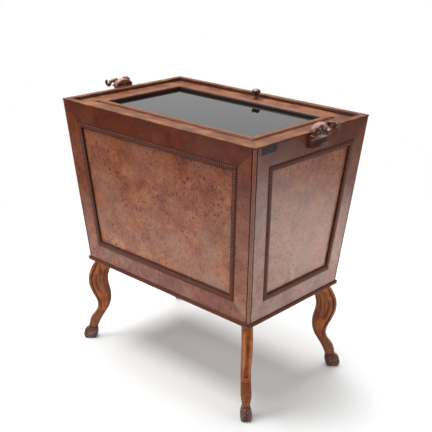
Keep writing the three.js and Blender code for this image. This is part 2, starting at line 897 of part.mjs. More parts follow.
// Handles, shaped with X outwards from the end's rim and Z upwards from it
const bracketTop = -bracketDrop;
const bracketLow = bracketTop - bracketHeight;

// The bracket's side: a ledge under the head and a foot, with a hollow between them
function bracket() {
  const back = -boardThickness;
  const footTop = bracketLow + bracketFootHeight;
  const ledgeLow = bracketTop - bracketLedgeHeight;
  const waistHeight = (footTop + ledgeLow) / 2;
  const outline = new THREE.Shape();
  outline.moveTo(back, bracketLow);
  outline.lineTo(bracketFootReach, bracketLow);
  outline.lineTo(bracketFootReach, footTop);
  outline.quadraticCurveTo(bracketWaist, footTop, bracketWaist, waistHeight);
  outline.quadraticCurveTo(bracketWaist, ledgeLow, bracketLedgeReach, ledgeLow);
  outline.lineTo(bracketLedgeReach, bracketTop);
  outline.lineTo(back, bracketTop);
  return new THREE.ExtrudeGeometry(outline, {
    depth: bracketWidth,
    bevelEnabled: false,
    curveSegments: bracketSteps,
  }).rotateX(Math.PI / 2).translate(0, bracketWidth / 2, 0);
}

// The ram's head: mane, crown, brow and muzzle. Each row is a share of the reach, then the
// middle's drop, the width and the height as shares of the head's.
const headShares = [
  [-0.15, 0.06, 2.44, 1.14],
  [0.2, 0.05, 2.54, 1.18],
  [0.36, 0.03, 2.5, 1.14],
  [0.45, 0, 2.2, 1.08],
  [0.5, -0.04, 1.5, 1],
  [0.55, -0.06, 1.04, 0.92],
  [0.63, -0.05, 0.96, 0.8],
  [0.74, 0, 0.82, 0.66],
  [0.84, 0.04, 0.7, 0.54],
  [0.93, 0.05, 0.66, 0.48],
  [0.98, 0.05, 0.54, 0.38],
  [1, 0.05, 0.34, 0.24],
];

function head() {
  return loft(headShares.map(([reachShare, dropShare, widthShare, heightShare]) => (
    Array.from({ length: headSides }, (_, i) => {
      const angle = (2 * Math.PI * i) / headSides;
      return new THREE.Vector3(
        reachShare * headReach,
        (Math.cos(angle) * widthShare * headWidth) / 2,
        headLift - dropShare * headHeight + (Math.sin(angle) * heightShare * headHeight) / 2,
      );
    })
  )));
}

// Horn curl, as turns from straight outwards, and how long its root and its tip are
const hornStartTurn = 0.22;
const hornTurns = 0.98;
const hornRootShare = 0.24;
const hornTipShare = 0.4;
const hornTipThicknessShare = 0.58;

// A horn on one side: it leaves the crown and curls back, down, forwards and up
function horn(side) {
  const run = new THREE.CatmullRomCurve3(Array.from({ length: hornRings + 1 }, (_, ring) => {
    const share = ring / hornRings;
    const turn = 2 * Math.PI * (hornStartTurn + hornTurns * share);
    const root = 1 - THREE.MathUtils.smoothstep(share, 0, hornRootShare);
    const tip = THREE.MathUtils.smoothstep(share, 1 - hornTipShare, 1);
    return new THREE.Vector3(
      hornReach - root * hornRootReach + hornRadius * Math.cos(turn),
      side * (hornSpread - root * hornRootSpread + tip * hornTipSpread),
      hornLift + hornRadius * Math.sin(turn),
    );
  }));
  const { normals, binormals } = run.computeFrenetFrames(hornRings);
  return loft(Array.from({ length: hornRings + 1 }, (_, ring) => {
    const share = ring / hornRings;
    const radius = (hornThickness / 2) * THREE.MathUtils.lerp(1, hornTipThicknessShare, share);
    return Array.from({ length: hornSides }, (_, i) => {
      const angle = (2 * Math.PI * i) / hornSides;
      return run.getPointAt(share)
        .addScaledVector(normals[ring], radius * Math.cos(angle))
        .addScaledVector(binormals[ring], radius * Math.sin(angle));
    });
  }));
}

// All that lies behind the end board's face, or within a glue line of it
function behindBoard() {
  const levels = [bracketLow - overrun, headHeight + headLift];
  return loft(levels.map((level) => {
    const face = caseHalf(rimHeight + level).length - rimLength / 2 + glueGap;
    const halfLength = (face + headReach) / 2;
    return rectangle(halfLength, bracketWidth, level).map((p) => p.setX(p.x + face - halfLength));
  }));
}

// A carved handle, with a hole for each screw
function handle() {
  const holes = screwPlaces.map((place) => screw(glueGap, 0)
    .translate(screwInner - rimLength / 2, place, -screwDrop));
  return cut(join(bracket(), head(), horn(-1), horn(1)), behindBoard(), ...holes);
}

for (const [name, side] of [['right', 1], ['left', -1]]) {
  const end = new THREE.Group();
  end.rotation.z = side > 0 ? 0 : Math.PI;
  cellarette.add(end);
  const mesh = addPiece(`${name}_handle`, handle(), 'carvedWood', end);
  mesh.position.set(rimLength / 2, 0, rimHeight);
  screwPlaces.forEach((place, i) => {
    const fastener = addPiece(`${name}_handle_screw_${i + 1}`, screw(0, 0), 'iron', end);
    fastener.position.set(screwInner, place, screwHeight);
  });
}

export default cellarette;
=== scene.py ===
"""Looks of a cellarette: a burr-veneered case on hoofed legs, with a glazed lid and ram's-head handles.

Metres, in the frame of the construction model: X along the long sides, Y from the hinge side to
the knob side, Z up, and the origin on the floor under the middle of the case.
"""

import logging
import math
from dataclasses import dataclass, field, replace
from enum import Enum
from functools import partial
from typing import Callable, Iterable, Optional, Sequence, Union

import bmesh
import bpy
import numpy as np
from mathutils import Matrix, Vector


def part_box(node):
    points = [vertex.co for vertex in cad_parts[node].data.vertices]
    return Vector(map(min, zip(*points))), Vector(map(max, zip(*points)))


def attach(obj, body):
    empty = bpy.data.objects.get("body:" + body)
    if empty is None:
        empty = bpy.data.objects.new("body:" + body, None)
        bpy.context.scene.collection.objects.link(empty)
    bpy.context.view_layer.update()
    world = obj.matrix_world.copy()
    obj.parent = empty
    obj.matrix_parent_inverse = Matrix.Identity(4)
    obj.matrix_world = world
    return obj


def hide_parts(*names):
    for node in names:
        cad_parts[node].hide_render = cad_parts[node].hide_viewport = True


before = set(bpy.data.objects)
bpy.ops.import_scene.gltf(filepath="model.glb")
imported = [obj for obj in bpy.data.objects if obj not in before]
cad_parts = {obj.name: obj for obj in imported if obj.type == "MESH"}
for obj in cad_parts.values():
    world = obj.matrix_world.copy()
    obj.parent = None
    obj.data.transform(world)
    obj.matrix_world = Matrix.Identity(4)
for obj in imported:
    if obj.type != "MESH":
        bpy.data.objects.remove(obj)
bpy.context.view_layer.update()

LOG = logging.getLogger("cellarette")
MILLIMETRE = 0.001
SAME_POINT = 0.00002
# A rounded edge: its flats, and how many degrees sharp an edge has to be to get one
EDGE_SEGMENTS = 2
EDGE_ANGLE = 30.0
CASE = "case"
LID = "lid"

Pair = tuple[float, float]
Triple = tuple[float, float, float]
Four = tuple[float, float, float, float]
Numbers = Union[float, np.ndarray]
Input = Union[bpy.types.Node, bpy.types.NodeSocket, float, tuple]
Adder = Callable[..., bpy.types.Node]
Painted = tuple[bpy.types.Node, bpy.types.Node, bpy.types.Node]


def vertices(node: str) -> np.ndarray:
    """Reads the points of a node's mesh.

    Args:
        node: The node's name.

    Returns:
        Rows of X, Y and Z.
    """
    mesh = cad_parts[node].data
    points = np.empty(len(mesh.vertices) * 3)
    mesh.vertices.foreach_get("co", points)
    return points.reshape(-1, 3)


def turned(points: np.ndarray, angle: float) -> np.ndarray:
    """Points turned about the Z axis by an angle in radians."""
    c, s = math.cos(angle), math.sin(angle)
    return points @ np.array([[c, s, 0.0], [-s, c, 0.0], [0.0, 0.0, 1.0]])


def smooth(value: np.ndarray, low: Numbers, high: Numbers) -> np.ndarray:
    """A smooth step from 0 at or below the low value to 1 at or above the high one."""
    t = np.clip((value - low) / (high - low), 0, 1)
    return t * t * (3 - 2 * t)


def between(value: np.ndarray, start: float, full: float, wane: float, end: float) -> np.ndarray:
    """A smooth hump: 1 from full to wane, and 0 outside start and end."""
    return smooth(value, start, full) * (1 - smooth(value, wane, end))


def arc(start: float, end: float, rise: float, steps: int) -> list[Pair]:
    """A half-round bead as pairs of place and height.

    Args:
        start: Place of the bead's one edge.
        end: Place of its other edge.
        rise: Its height.
        steps: How many flats it has.

    Returns:
        The bead's points, edges included.
    """
    middle, radius = (start + end) / 2, (end - start) / 2
    angles = [math.pi * i / steps for i in range(steps + 1)]
    return [(middle - radius * math.cos(a), rise * math.sin(a)) for a in angles]


class Slot(Enum):
    """The record's material slots."""

    BURR = "burr_veneer"
    RIM = "rim_veneer"
    MOULDING = "dark_moulding"
    CARVED = "carved_wood"
    INNER = "inner_wood"
    GLASS = "black_glass"
    IRON = "iron"
    ZINC = "zinc"


class Side(Enum):
    """The sides of the case, with the quarter turns that carry the back, which faces -Y, to each."""

    BACK = ("back", 0)
    RIGHT = ("right", 1)
    FRONT = ("front", 2)
    LEFT = ("left", -1)

    @property
    def label(self) -> str:
        """The side's name in the nodes."""
        return self.value[0]

    @property
    def axis(self) -> int:
        """The axis that the side runs along: 0 on the two long sides and 1 on the ends."""
        return self.value[1] % 2

    @property
    def matrix(self) -> Matrix:
        """The turn that carries a piece shaped for the back to this side."""
        return Matrix.Rotation(self.value[1] * math.pi / 2, 4, "Z")

    def seen(self, node: str) -> np.ndarray:
        """The points of a node's mesh, turned so that this side faces -Y."""
        return turned(vertices(node), -self.value[1] * math.pi / 2)


class Corner(Enum):
    """The corners of the case, with the signs of X and Y there."""

    BACK_LEFT = ("back_left", -1, -1)
    BACK_RIGHT = ("back_right", 1, -1)
    FRONT_RIGHT = ("front_right", 1, 1)
    FRONT_LEFT = ("front_left", -1, 1)

    @property
    def label(self) -> str:
        """The corner's name in the nodes."""
        return self.value[0]

    @property
    def signs(self) -> np.ndarray:
        """The signs of X, Y and Z at this corner."""
        return np.array([self.value[1], self.value[2], 1.0])

    @property
    def turn(self) -> float:
        """The angle from +X to the diagonal that leads out of this corner."""
        return math.atan2(self.value[2], self.value[1])


def linear(colour: str) -> tuple[float, float, float, float]:
    """Turns an sRGB hex colour into linear red, green, blue and alpha.

    Args:
        colour: Six hex digits after a hash sign.

    Returns:
        The four channels that Blender's sockets take.
    """
    channels = [int(colour[i : i + 2], 16) / 255 for i in (1, 3, 5)]
    red, green, blue = [c / 12.92 if c <= 0.04045 else ((c + 0.055) / 1.055) ** 2.4 for c in channels]
    return red, green, blue, 1.0


def per(size: float) -> float:
    """The scale at which a texture repeats once in a size given in millimetres."""
    return 1 / (size * MILLIMETRE)


def add_node(
    tree: bpy.types.NodeTree,
    kind: str,
    inputs: Union[Sequence[Input], dict[str, Input]] = (),
    stops: Iterable[tuple[float, str]] = (),
    **settings: object,
) -> bpy.types.Node:
    """Adds a node with its settings and links.

    Args:
        tree: The tree that gets the node.
        kind: The node's type, without the word that the types of all shader nodes start with.
        inputs: What goes into it, in the order of its sockets or by their names. A node there
            stands for its first output.
        stops: Places and hex colours for a colour ramp.
        settings: Properties of the node.

    Returns:
        The new node.
    """
    node = tree.nodes.new(f"ShaderNode{kind}")
    for name, value in settings.items():
        setattr(node, name, value)
    for key, value in inputs.items() if isinstance(inputs, dict) else enumerate(inputs):
        if isinstance(value, bpy.types.Node):
            value = value.outputs[0]
        if isinstance(value, bpy.types.NodeSocket):
            tree.links.new(value, node.inputs[key])
        else:
            node.inputs[key].default_value = value
    for i, (place, colour) in enumerate(stops):
        if i >= len(node.color_ramp.elements):
            node.color_ramp.elements.new(1.0)
        node.color_ramp.elements[i].position = place
        node.color_ramp.elements[i].color = linear(colour)
    return node


def cleared(block: Union[bpy.types.Material, bpy.types.World]) -> Adder:
    """Empties the node tree of a material or a world.

    Args:
        block: The material or the world.

    Returns:
        What adds a node to its tree.
    """
    block.use_nodes = True
    block.node_tree.nodes.clear()
    return partial(add_node, block.node_tree)


@dataclass(frozen=True)
class Finish:
    """A finish: its name, its slot in the record, and the gloss and relief that it has all over."""

    name: str
    slot: Slot
    # The roughness goes up and down by its spread as a pattern goes from one value to another
    roughness: float = 0.5
    roughness_spread: float = 0.1
    pattern_from: Pair = (0.3, 0.7)
    metallic: float = 0.0
    ior: float = 1.5
    coat: float = 0.0
    coat_roughness: float = 0.3
    relief_strength: float = 0.4
    relief_mm: float = 0.25

    def material(self) -> bpy.types.Material:
        """Makes the material of this finish, once.

        Returns:
            The material, which is a new one on the first call only.
        """
        made = bpy.data.materials.get(self.name)
        if made:
            return made
        made = bpy.data.materials.new(self.name)
        add = cleared(made)
        colour, pattern, height = self.paint(add)
        spread = self.roughness - self.roughness_spread, self.roughness + self.roughness_spread
        relief = {"Strength": self.relief_strength, "Distance": self.relief_mm * MILLIMETRE, "Height": height}
        surface = {
            "Base Color": colour,
            "Roughness": add("MapRange", [pattern, *self.pattern_from, *spread]),
            "Metallic": self.metallic,
            "IOR": self.ior,
            "Coat Weight": self.coat,
            "Coat Roughness": self.coat_roughness,
            "Normal": add("Bump", relief),
        }
        add("OutputMaterial", [add("BsdfPrincipled", surface)])
        return made

    def paint(self, add: Adder) -> Painted:
        """Mixes what varies over the surface.

        Args:
            add: What adds a node to the material.

        Returns:
            Its colour, the pattern that its roughness follows and the height of its relief.
        """
        raise NotImplementedError


@dataclass(frozen=True)
class BurrVeneer(Finish):
    """Polished burr veneer: clouded brown with dark pips, cross-banded in mitred strips round the panel.

    Of four numbers, the first two are carried to the last two.
    """

    wall: Optional["Wall"] = None
    seed: float = 0.0
    roughness: float = 0.445
    roughness_spread: float = 0.105
    pattern_from: Pair = (0.35, 0.7)
    coat_roughness: float = 0.26
    relief_strength: float = 0.25
    relief_mm: float = 0.4
    tones: tuple[tuple[float, str], ...] = ((0.38, "#7a3f26"), (0.5, "#aa603e"), (0.61, "#c28257"))
    # What darkens the strips, the upright ones less, and the painted shade that darkens the top, the panel
    # less
    strip: str = "#ccab99"
    upright_share: float = 0.5
    # The top is painted darker: painted shade
    top_shade: str = "#c6a089"
    top_shade_panel_share: float = 0.6
    pip: str = "#451c12"
    halo: str = "#743f2b"
    # Greyish bloom of old polish, with painted sheen where it is strongest low down
    bloom_and_sheen: str = "#ab8773"
    joint: str = "#22100a"
    # Bare wood behind the veneer, painted as dark as painted shade
    inside_shade: str = "#3a1a10"
    # Clouds, and what figure, streaks along the strips and flecks add to them
    cloud_mm: float = 48.0
    figure_mm: float = 11.0
    streak_mm: float = 2.6
    streak_share: float = 0.12
    fleck_mm: float = 4.2
    layer_shares: Triple = (0.36, 0.14, 0.22)
    # Swirls, and how many metres they pull the clouds, and the flecks and pips
    swirl_mm: float = 34.0
    pulls: Pair = (0.05, 0.012)
    # How far apart in the log the upright strips, the panel and the far upright strips are cut
    leaf_steps: Triple = (2.3, 5.1, 0.9)
    # Spacing of the large and small pips and of their crowds, and what their radius comes from
    pip_mm: Pair = (14.0, 8.0)
    crowd_mm: float = 62.0
    girths: Four = (0.23, 0.55, 0.0, 0.25)
    budded_from: Pair = (0.01, 0.06)
    pip_fade: Four = (0.04, -0.05, 0.0, 0.75)
    halo_fade: Four = (0.3, 0.0, 0.0, 0.45)
    # Dull patches, the most on strips and panel, and what changes that from foot to top, where the extra low
    # down is painted sheen
    bloom_mm: float = 95.0
    bloom_from: Pair = (0.46, 0.66)
    bloom_most: Pair = (0.5, 0.6)
    sheen_heights: Pair = (1.2, 0.1)
    joint_fade: Four = (0.0, 0.035, 0.6, 0.0)

    def paint(self, add: Adder) -> Painted:
        """Works out the strips from the wall's own sizes, then paints burr, pips and bloom.

        Args:
            add: What adds a node to the material.

        Returns:
            Its colour, the pattern of its bloom and the height of its figure.
        """
        wall = self.wall
        split = add("SeparateXYZ", [add("TexCoord").outputs["Object"]]).outputs
        along, across, height = split[wall.side.axis], split[1 - wall.side.axis], split[2]
        slope = (wall.half_high - wall.half_low) / (wall.high - wall.low)
        start = wall.half_low - slope * wall.low
        edge = add("Math", [height, slope, start], operation="MULTIPLY_ADD")
        reach = add("Math", [along], operation="ABSOLUTE")
        inset = add("Math", [edge, reach], operation="SUBTRACT")
        side = add("Math", [inset, wall.border], operation="DIVIDE")
        top = add("MapRange", [height, wall.high, wall.panel_high], clamp=False)
        low = add("MapRange", [height, wall.low, wall.panel_low], clamp=False)
        level = add("Math", [top, low], operation="MINIMUM")
        nearest = add("Math", [side, level], operation="MINIMUM")
        panel = add("Math", [nearest, 1.0], operation="GREATER_THAN")
        banding = add("Math", [1.0, panel], operation="SUBTRACT")
        upright = add("Math", [side, level], operation="LESS_THAN")
        upright = add("Math", [upright, banding], operation="MULTIPLY")
        far_half = add("Math", [along, 0.0], operation="GREATER_THAN")
        far_upright = add("Math", [far_half, upright], operation="MULTIPLY")
        leaf = self.seed
        for part, step in zip((upright, panel, far_upright), self.leaf_steps):
            leaf = add("Math", [part, step, leaf], operation="MULTIPLY_ADD")
        flat = add("CombineXYZ", [along, height, leaf])
        swapped = add("CombineXYZ", [height, along, leaf])
        banded = add("MixRGB", [upright, flat, swapped])
        # The swirl bends the figure, as the grain winds round the buds
        swirl = add("TexNoise", {"Vector": flat, "Scale": per(self.swirl_mm), "Detail": 3.0}).outputs["Color"]
        pulled, eased = [
            add("VectorMath", [swirl, (pull, pull, 0.0), flat], operation="MULTIPLY_ADD")
            for pull in self.pulls
        ]
        streaks = add("Mapping", {"Vector": banded, "Scale": (1.0, self.streak_share, 1.0)})
        cloud, figure, grain, fleck = [
            add("TexNoise", {"Vector": way, "Scale": per(size), "Detail": detail, "Roughness": rough})
            for way, size, detail, rough in (
                (pulled, self.cloud_mm, 5.0, 0.6),
                (pulled, self.figure_mm, 4.0, 0.62),
                (streaks, self.streak_mm, 3.0, 0.6),
                (eased, self.fleck_mm, 3.0, 0.6),
            )
        ]
        tone = cloud
        for share, layer in zip(self.layer_shares, (figure, grain, fleck)):
            tone = add("MixRGB", [share, tone, layer])
        colour = add("ValToRGB", [tone], stops=self.tones)
        # The strips are cut from darker leaves, and all of it is painted darker towards the top, as painted
        # shade
        darker = add("Math", [upright, self.upright_share - 1, banding], operation="MULTIPLY_ADD")
        most = add("MapRange", [panel, 0.0, 1.0, 1.0, self.top_shade_panel_share])
        top_shading = add("MapRange", [height, wall.low, wall.high, 0.0, most])
        for share, shade in ((darker, self.strip), (top_shading, self.top_shade)):
            colour = add("MixRGB", [share, colour, linear(shade)], blend_type="MULTIPLY")
        # Pips are the cut ends of buds, scattered thickly in some places and hardly in others
        crowd = add("TexNoise", {"Vector": flat, "Scale": per(self.crowd_mm), "Detail": 3.0})
        for size in self.pip_mm:
            pips = add("TexVoronoi", {"Vector": eased, "Scale": per(size)}, voronoi_dimensions="2D")
            own = add("SeparateColor", [pips.outputs["Color"]])
            girth = add("Math", [own, crowd], operation="MULTIPLY")
            girth = add("MapRange", [girth, *self.girths])
            rim = add("Math", [pips, girth], operation="SUBTRACT")
            budded = add("MapRange", [girth, *self.budded_from])
            halo = add("MapRange", [rim, *self.halo_fade])
            halo = add("Math", [halo, budded], operation="MULTIPLY")
            colour = add("MixRGB", [halo, colour, linear(self.halo)])
            colour = add("MixRGB", [add("MapRange", [rim, *self.pip_fade]), colour, linear(self.pip)])
        # Bloom is where the old polish has gone dull and greyish; that most of it lies low down is painted
        # sheen
        patches = {"Vector": flat, "Scale": per(self.bloom_mm), "Detail": 7.0, "Roughness": 0.72}
        worn = add("TexNoise", patches)
        most = add("MapRange", [panel, 0.0, 1.0, *self.bloom_most])
        falling = add("MapRange", [height, wall.low, wall.high, *self.sheen_heights])
        most = add("Math", [most, falling], operation="MULTIPLY")
        dull_and_sheen = add("MapRange", [worn, *self.bloom_from, 0.0, most])
        # A dark line shows where two strips meet, and bare wood behind the veneer, painted as dark as the
        # shade in the rim's recess
        meet = add("Math", [side, level], operation="SUBTRACT")
        meet = add("Math", [meet], operation="ABSOLUTE")
        meet = add("MapRange", [meet, *self.joint_fade])
        meet = add("Math", [meet, banding], operation="MULTIPLY")
        out_slope = (wall.out_high - wall.out_low) / (wall.high - wall.low)
        middle = wall.out_low - out_slope * wall.low - wall.thickness / 2
        core = add("Math", [height, out_slope, middle], operation="MULTIPLY_ADD")
        depth = add("Math", [across], operation="ABSOLUTE")
        behind = add("Math", [depth, core], operation="LESS_THAN")
        for share, shade in ((dull_and_sheen, self.bloom_and_sheen), (meet, self.joint), (behind, self.inside_shade)):
            colour = add("MixRGB", [share, colour, linear(shade)])
        return colour, worn, figure


@dataclass(frozen=True)
class GrainedWood(Finish):
    """Wood with straight grain along one axis, with painted shade where it is carved in and a painted
    highlight on worn crests.
    """

    axis: int = 0
    dark: str = "#7a4526"
    light: str = "#b07848"
    tones_at: Pair = (0.36, 0.64)
    # Colours and shares of the painted shade in the carving and of the painted highlight on the rubbed crests
    recess: tuple[str, float] = ("#2c130a", 0.85)
    crest: tuple[str, float] = ("#c08a5c", 0.5)
    grain_mm: float = 3.0
    narrow_share: float = 0.06
    mottle_mm: float = 38.0
    mottle_share: float = 0.45
    patch: str = ""
    patch_share: float = 0.6
    patch_from: Pair = (0.48, 0.62)
    # Colour, upper level and share of each stain on its lowest part, and the knocks there
    stains: tuple[tuple[str, float, float], ...] = ()
    stain_fade: float = 0.004
    speck: str = "#b39274"
    speck_mm: float = 5.0
    speck_fade: Four = (0.54, 0.64, 0.0, 0.7)

    def along(self, axis: int) -> "GrainedWood":
        """The same finish with its grain along an axis, which its name then tells."""
        return replace(self, name=f"{self.name}_{'xyz'[axis]}", axis=axis)

    def paint(self, add: Adder) -> Painted:
        """Paints grain and mottle, then the painted highlight on the crests, the stains and the painted shade
        in the recesses.

        Args:
            add: What adds a node to the material.

        Returns:
            Its colour, its mottle and its grain.
        """
        place = add("TexCoord").outputs["Object"]
        scale = [1.0, 1.0, 1.0]
        scale[self.axis] = self.narrow_share
        long = add("Mapping", {"Vector": place, "Scale": tuple(scale)})
        fibres = {"Vector": long, "Scale": per(self.grain_mm), "Detail": 5.0, "Roughness": 0.62}
        grain = add("TexNoise", fibres)
        clouds = {"Vector": place, "Scale": per(self.mottle_mm), "Detail": 6.0, "Roughness": 0.7}
        mottle = add("TexNoise", clouds)
        tone = add("MixRGB", [self.mottle_share, grain, mottle])
        colour = add("ValToRGB", [tone], stops=zip(self.tones_at, (self.dark, self.light)))
        if self.patch:
            worn = add("TexNoise", {"Vector": place, "Scale": per(self.mottle_mm), "Detail": 4.0})
            worn = add("MapRange", [worn, *self.patch_from, 0.0, self.patch_share])
            colour = add("MixRGB", [worn, colour, linear(self.patch)])
        carved = add("Attribute", attribute_name="recess").outputs["Fac"]
        # Crests are painted lighter: wear, and a painted highlight
        worn_and_lit = add("MapRange", [carved, 0.0, -1.0, 0.0, self.crest[1]])
        colour = add("MixRGB", [worn_and_lit, colour, linear(self.crest[0])])
        if self.stains:
            height = add("SeparateXYZ", [place]).outputs[2]
            for stain, top, share in self.stains:
                dyed = add("MapRange", [height, top + self.stain_fade, top - self.stain_fade, 0.0, share])
                colour = add("MixRGB", [dyed, colour, linear(stain)])
            # Knocks have left pale specks on the lowest part
            knocks = add("TexNoise", {"Vector": place, "Scale": per(self.speck_mm), "Detail": 3.0})
            knocks = add("MapRange", [knocks, *self.speck_fade])
            low_down = add("MapRange", [height, self.stains[0][1], self.stains[-1][1]])
            knocks = add("Math", [knocks, low_down], operation="MULTIPLY")
            colour = add("MixRGB", [knocks, colour, linear(self.speck)])
        # Carved-in places are painted darker: painted shade
        shaded_share = add("MapRange", [carved, 0.0, 1.0, 0.0, self.recess[1]])
        colour = add("MixRGB", [shaded_share, colour, linear(self.recess[0])])
        return colour, mottle, grain


@dataclass(frozen=True)
class AgedSurface(Finish):
    """A surface with no grain, such as glass or metal: two tones in blotches, with fine pits."""

    dark: str = "#0a0c0b"
    light: str = "#101312"
    tones_at: Pair = (0.38, 0.62)
    blotch_mm: float = 30.0
    pit_mm: float = 1.5
    relief_strength: float = 0.3

    def paint(self, add: Adder) -> Painted:
        """Paints the blotches, which the roughness follows, and the pits.

        Args:
            add: What adds a node to the material.

        Returns:
            Its colour, its blotches and its pits.
        """
        place = add("TexCoord").outputs["Object"]
        clouds = {"Vector": place, "Scale": per(self.blotch_mm), "Detail": 6.0, "Roughness": 0.65}
        blotch = add("TexNoise", clouds)
        colour = add("ValToRGB", [blotch], stops=zip(self.tones_at, (self.dark, self.light)))
        return colour, blotch, add("TexNoise", {"Vector": place, "Scale": per(self.pit_mm), "Detail": 3.0})


# Rim and lid frame: straight-grained walnut, waxed, paler in patches where hands have worn it
RIM_WOOD = GrainedWood(
    "waxed_rim_walnut", Slot.RIM, ior=1.25, coat=0.05, coat_roughness=0.2, dark="#37160c",
    light="#724022", grain_mm=2.4, mottle_mm=55.0, patch="#8a5d3a", patch_share=0.4,
)
# Glazing moulding: the same walnut, a little redder, with near-black painted shade in its quirk and at its
# foot
GLAZING_WOOD = GrainedWood(
    "waxed_glazing_walnut", Slot.RIM, roughness=0.45, ior=1.28, coat=0.08, coat_roughness=0.2,
    dark="#421d0f", light="#7d482b", recess=("#100805", 0.85), grain_mm=2.0,
)
# Panel and base mouldings: stained dark red-brown, with painted shade in the quirks and a painted highlight
# on the rubbed crests
MOULDING_WOOD = GrainedWood(
    "stained_moulding", Slot.MOULDING, roughness=0.55, ior=1.36, coat=0.05, dark="#4a1c12",
    light="#743a27", recess=("#34110a", 0.85), crest=("#985a42", 0.5), grain_mm=2.4,
)
# Corner beads: the case's own red-brown, rubbed to orange, with painted shade on their flanks
BEAD_WOOD = GrainedWood(
    "rubbed_corner_walnut", Slot.MOULDING, roughness=0.4, coat=0.4, axis=2, dark="#6a341f",
    light="#a66344", recess=("#35150c", 0.85), grain_mm=2.0, mottle_mm=26.0,
)
# Legs: carved walnut, orange where it is bare, with painted shade in the cuts, a painted highlight on
# what stands proud, a red-brown shank and a nearly black hoof
LEG_WOOD = GrainedWood(
    "carved_leg_walnut", Slot.CARVED, roughness=0.45, ior=1.36, coat=0.06, axis=2, dark="#762a10",
    light="#de8238", recess=("#2a0d06", 0.85), crest=("#efae7a", 0.5), mottle_mm=30.0,
    patch="#7a2c18", patch_share=0.7, stains=(("#6c3523", 0.093, 0.65), ("#5c423a", 0.033, 0.85)),
)
# Handles: the carving's walnut, darker from handling, with painted shade in its cuts and a painted highlight
# on its crests
HANDLE_WOOD = GrainedWood(
    "carved_handle_walnut", Slot.CARVED, roughness=0.4, coat=0.5, coat_roughness=0.2, axis=1,
    dark="#522316", light="#8a4f36", recess=("#240a05", 0.85), crest=("#b07c62", 0.5),
    grain_mm=2.6, mottle_mm=16.0, patch="#6e2c1b", patch_share=0.5,
)
# Knob: nearly black walnut, polished by fingers
KNOB_WOOD = GrainedWood(
    "turned_knob_walnut", Slot.CARVED, roughness=0.3, coat=0.6, coat_roughness=0.12, axis=2,
    dark="#2e1410", light="#50281f", grain_mm=1.8,
)
# Inside: plain stained softwood, dry and dusty
INNER_WOOD = GrainedWood(
    "stained_inner_pine", Slot.INNER, roughness=0.72, dark="#5c3723", light="#8a5c3e", grain_mm=4.0,
)
# Lid glass: black glass, so polished that it mirrors the room
BLACK_GLASS = AgedSurface(
    "black_glass_pane", Slot.GLASS, roughness=0.015, ior=1.52, dark="#080a09", light="#0b0d0c",
    roughness_spread=0.008, relief_mm=0.0005,
)
# Pivot plates, pins and screws: forged iron, nearly black and dull
OLD_IRON = AgedSurface(
    "forged_iron", Slot.IRON, roughness=0.6, metallic=0.3, dark="#1f1b1a", light="#484340",
    blotch_mm=9.0, pit_mm=0.8, relief_mm=0.15,
)
# Liner: rolled zinc, gone dull and blotched
OLD_ZINC = AgedSurface(
    "rolled_zinc", Slot.ZINC, metallic=0.9, dark="#74787a", light="#a0a4a5", blotch_mm=24.0,
    pit_mm=2.0, relief_mm=0.06, roughness_spread=0.12,
)


@dataclass(frozen=True)
class Wall:
    """A side's outer face, measured on its board, in a frame where it faces -Y.

    Attributes:
        side: Which side it is.
        low: Level of the board's foot.
        high: Level of the board's top.
        out_low: How far the face lies from the middle at its foot.
        out_high: How far it lies from the middle at its top.
        half_low: Half its length at its foot, out to the case's arris.
        half_high: Half its length at its top.
        border: Width of the upright strips beside the sunk panel.
        panel_low: Level of the panel's lower edge.
        panel_high: Level of its upper edge.
        thickness: The board's thickness, which its cap shares.
    """

    side: Side
    low: float
    high: float
    out_low: float
    out_high: float
    half_low: float
    half_high: float
    border: float
    panel_low: float
    panel_high: float
    thickness: float

    @classmethod
    def measured(cls, side: Side) -> "Wall":
        """Measures a side on its own board and cap, its neighbour and its moulding.

        Args:
            side: The side.

        Returns:
            Its outer face.
        """
        own = cls.reach(side)
        neighbour = cls.reach(Side.BACK if side.axis else Side.RIGHT)
        moulding = side.seen(f"{side.label}_panel_moulding")
        panel_low, panel_high = moulding[:, 2].min(), moulding[:, 2].max()
        border = np.interp(panel_high, own[:2], neighbour[2:]) - np.abs(moulding[:, 0]).max()
        thickness = float(np.ptp(side.seen(f"{side.label}_rim_cap")[:, 1]))
        return cls(side, *own, *neighbour[2:], border, panel_low, panel_high, thickness)

    @staticmethod
    def reach(side: Side) -> Four:
        """Measures how far out a side's face lies.

        Args:
            side: The side.

        Returns:
            Foot and top level of its board, and how far the face lies from the middle at each.
        """
        points = side.seen(f"{side.label}_board")
        low, high = points[:, 2].min(), points[:, 2].max()
        feet = points[points[:, 2] < low + SAME_POINT]
        tops = points[points[:, 2] > high - SAME_POINT]
        return low, high, -feet[:, 1].min(), -tops[:, 1].min()

    def share(self, height: Numbers) -> np.ndarray:
        """Where a height lies between the board's foot and its top."""
        return (height - self.low) / (self.high - self.low)

    def out(self, height: Numbers) -> np.ndarray:
        """How far the face lies from the middle at a height, also past the board's ends."""
        return self.out_low + (self.out_high - self.out_low) * self.share(height)

    def half(self, height: Numbers) -> np.ndarray:
        """Half the face's length at a height."""
        return self.half_low + (self.half_high - self.half_low) * self.share(height)

    @property
    def normal(self) -> np.ndarray:
        """The face's outward normal."""
        lean = Vector((0.0, -(self.high - self.low), -(self.out_high - self.out_low)))
        return np.array(lean.normalized())


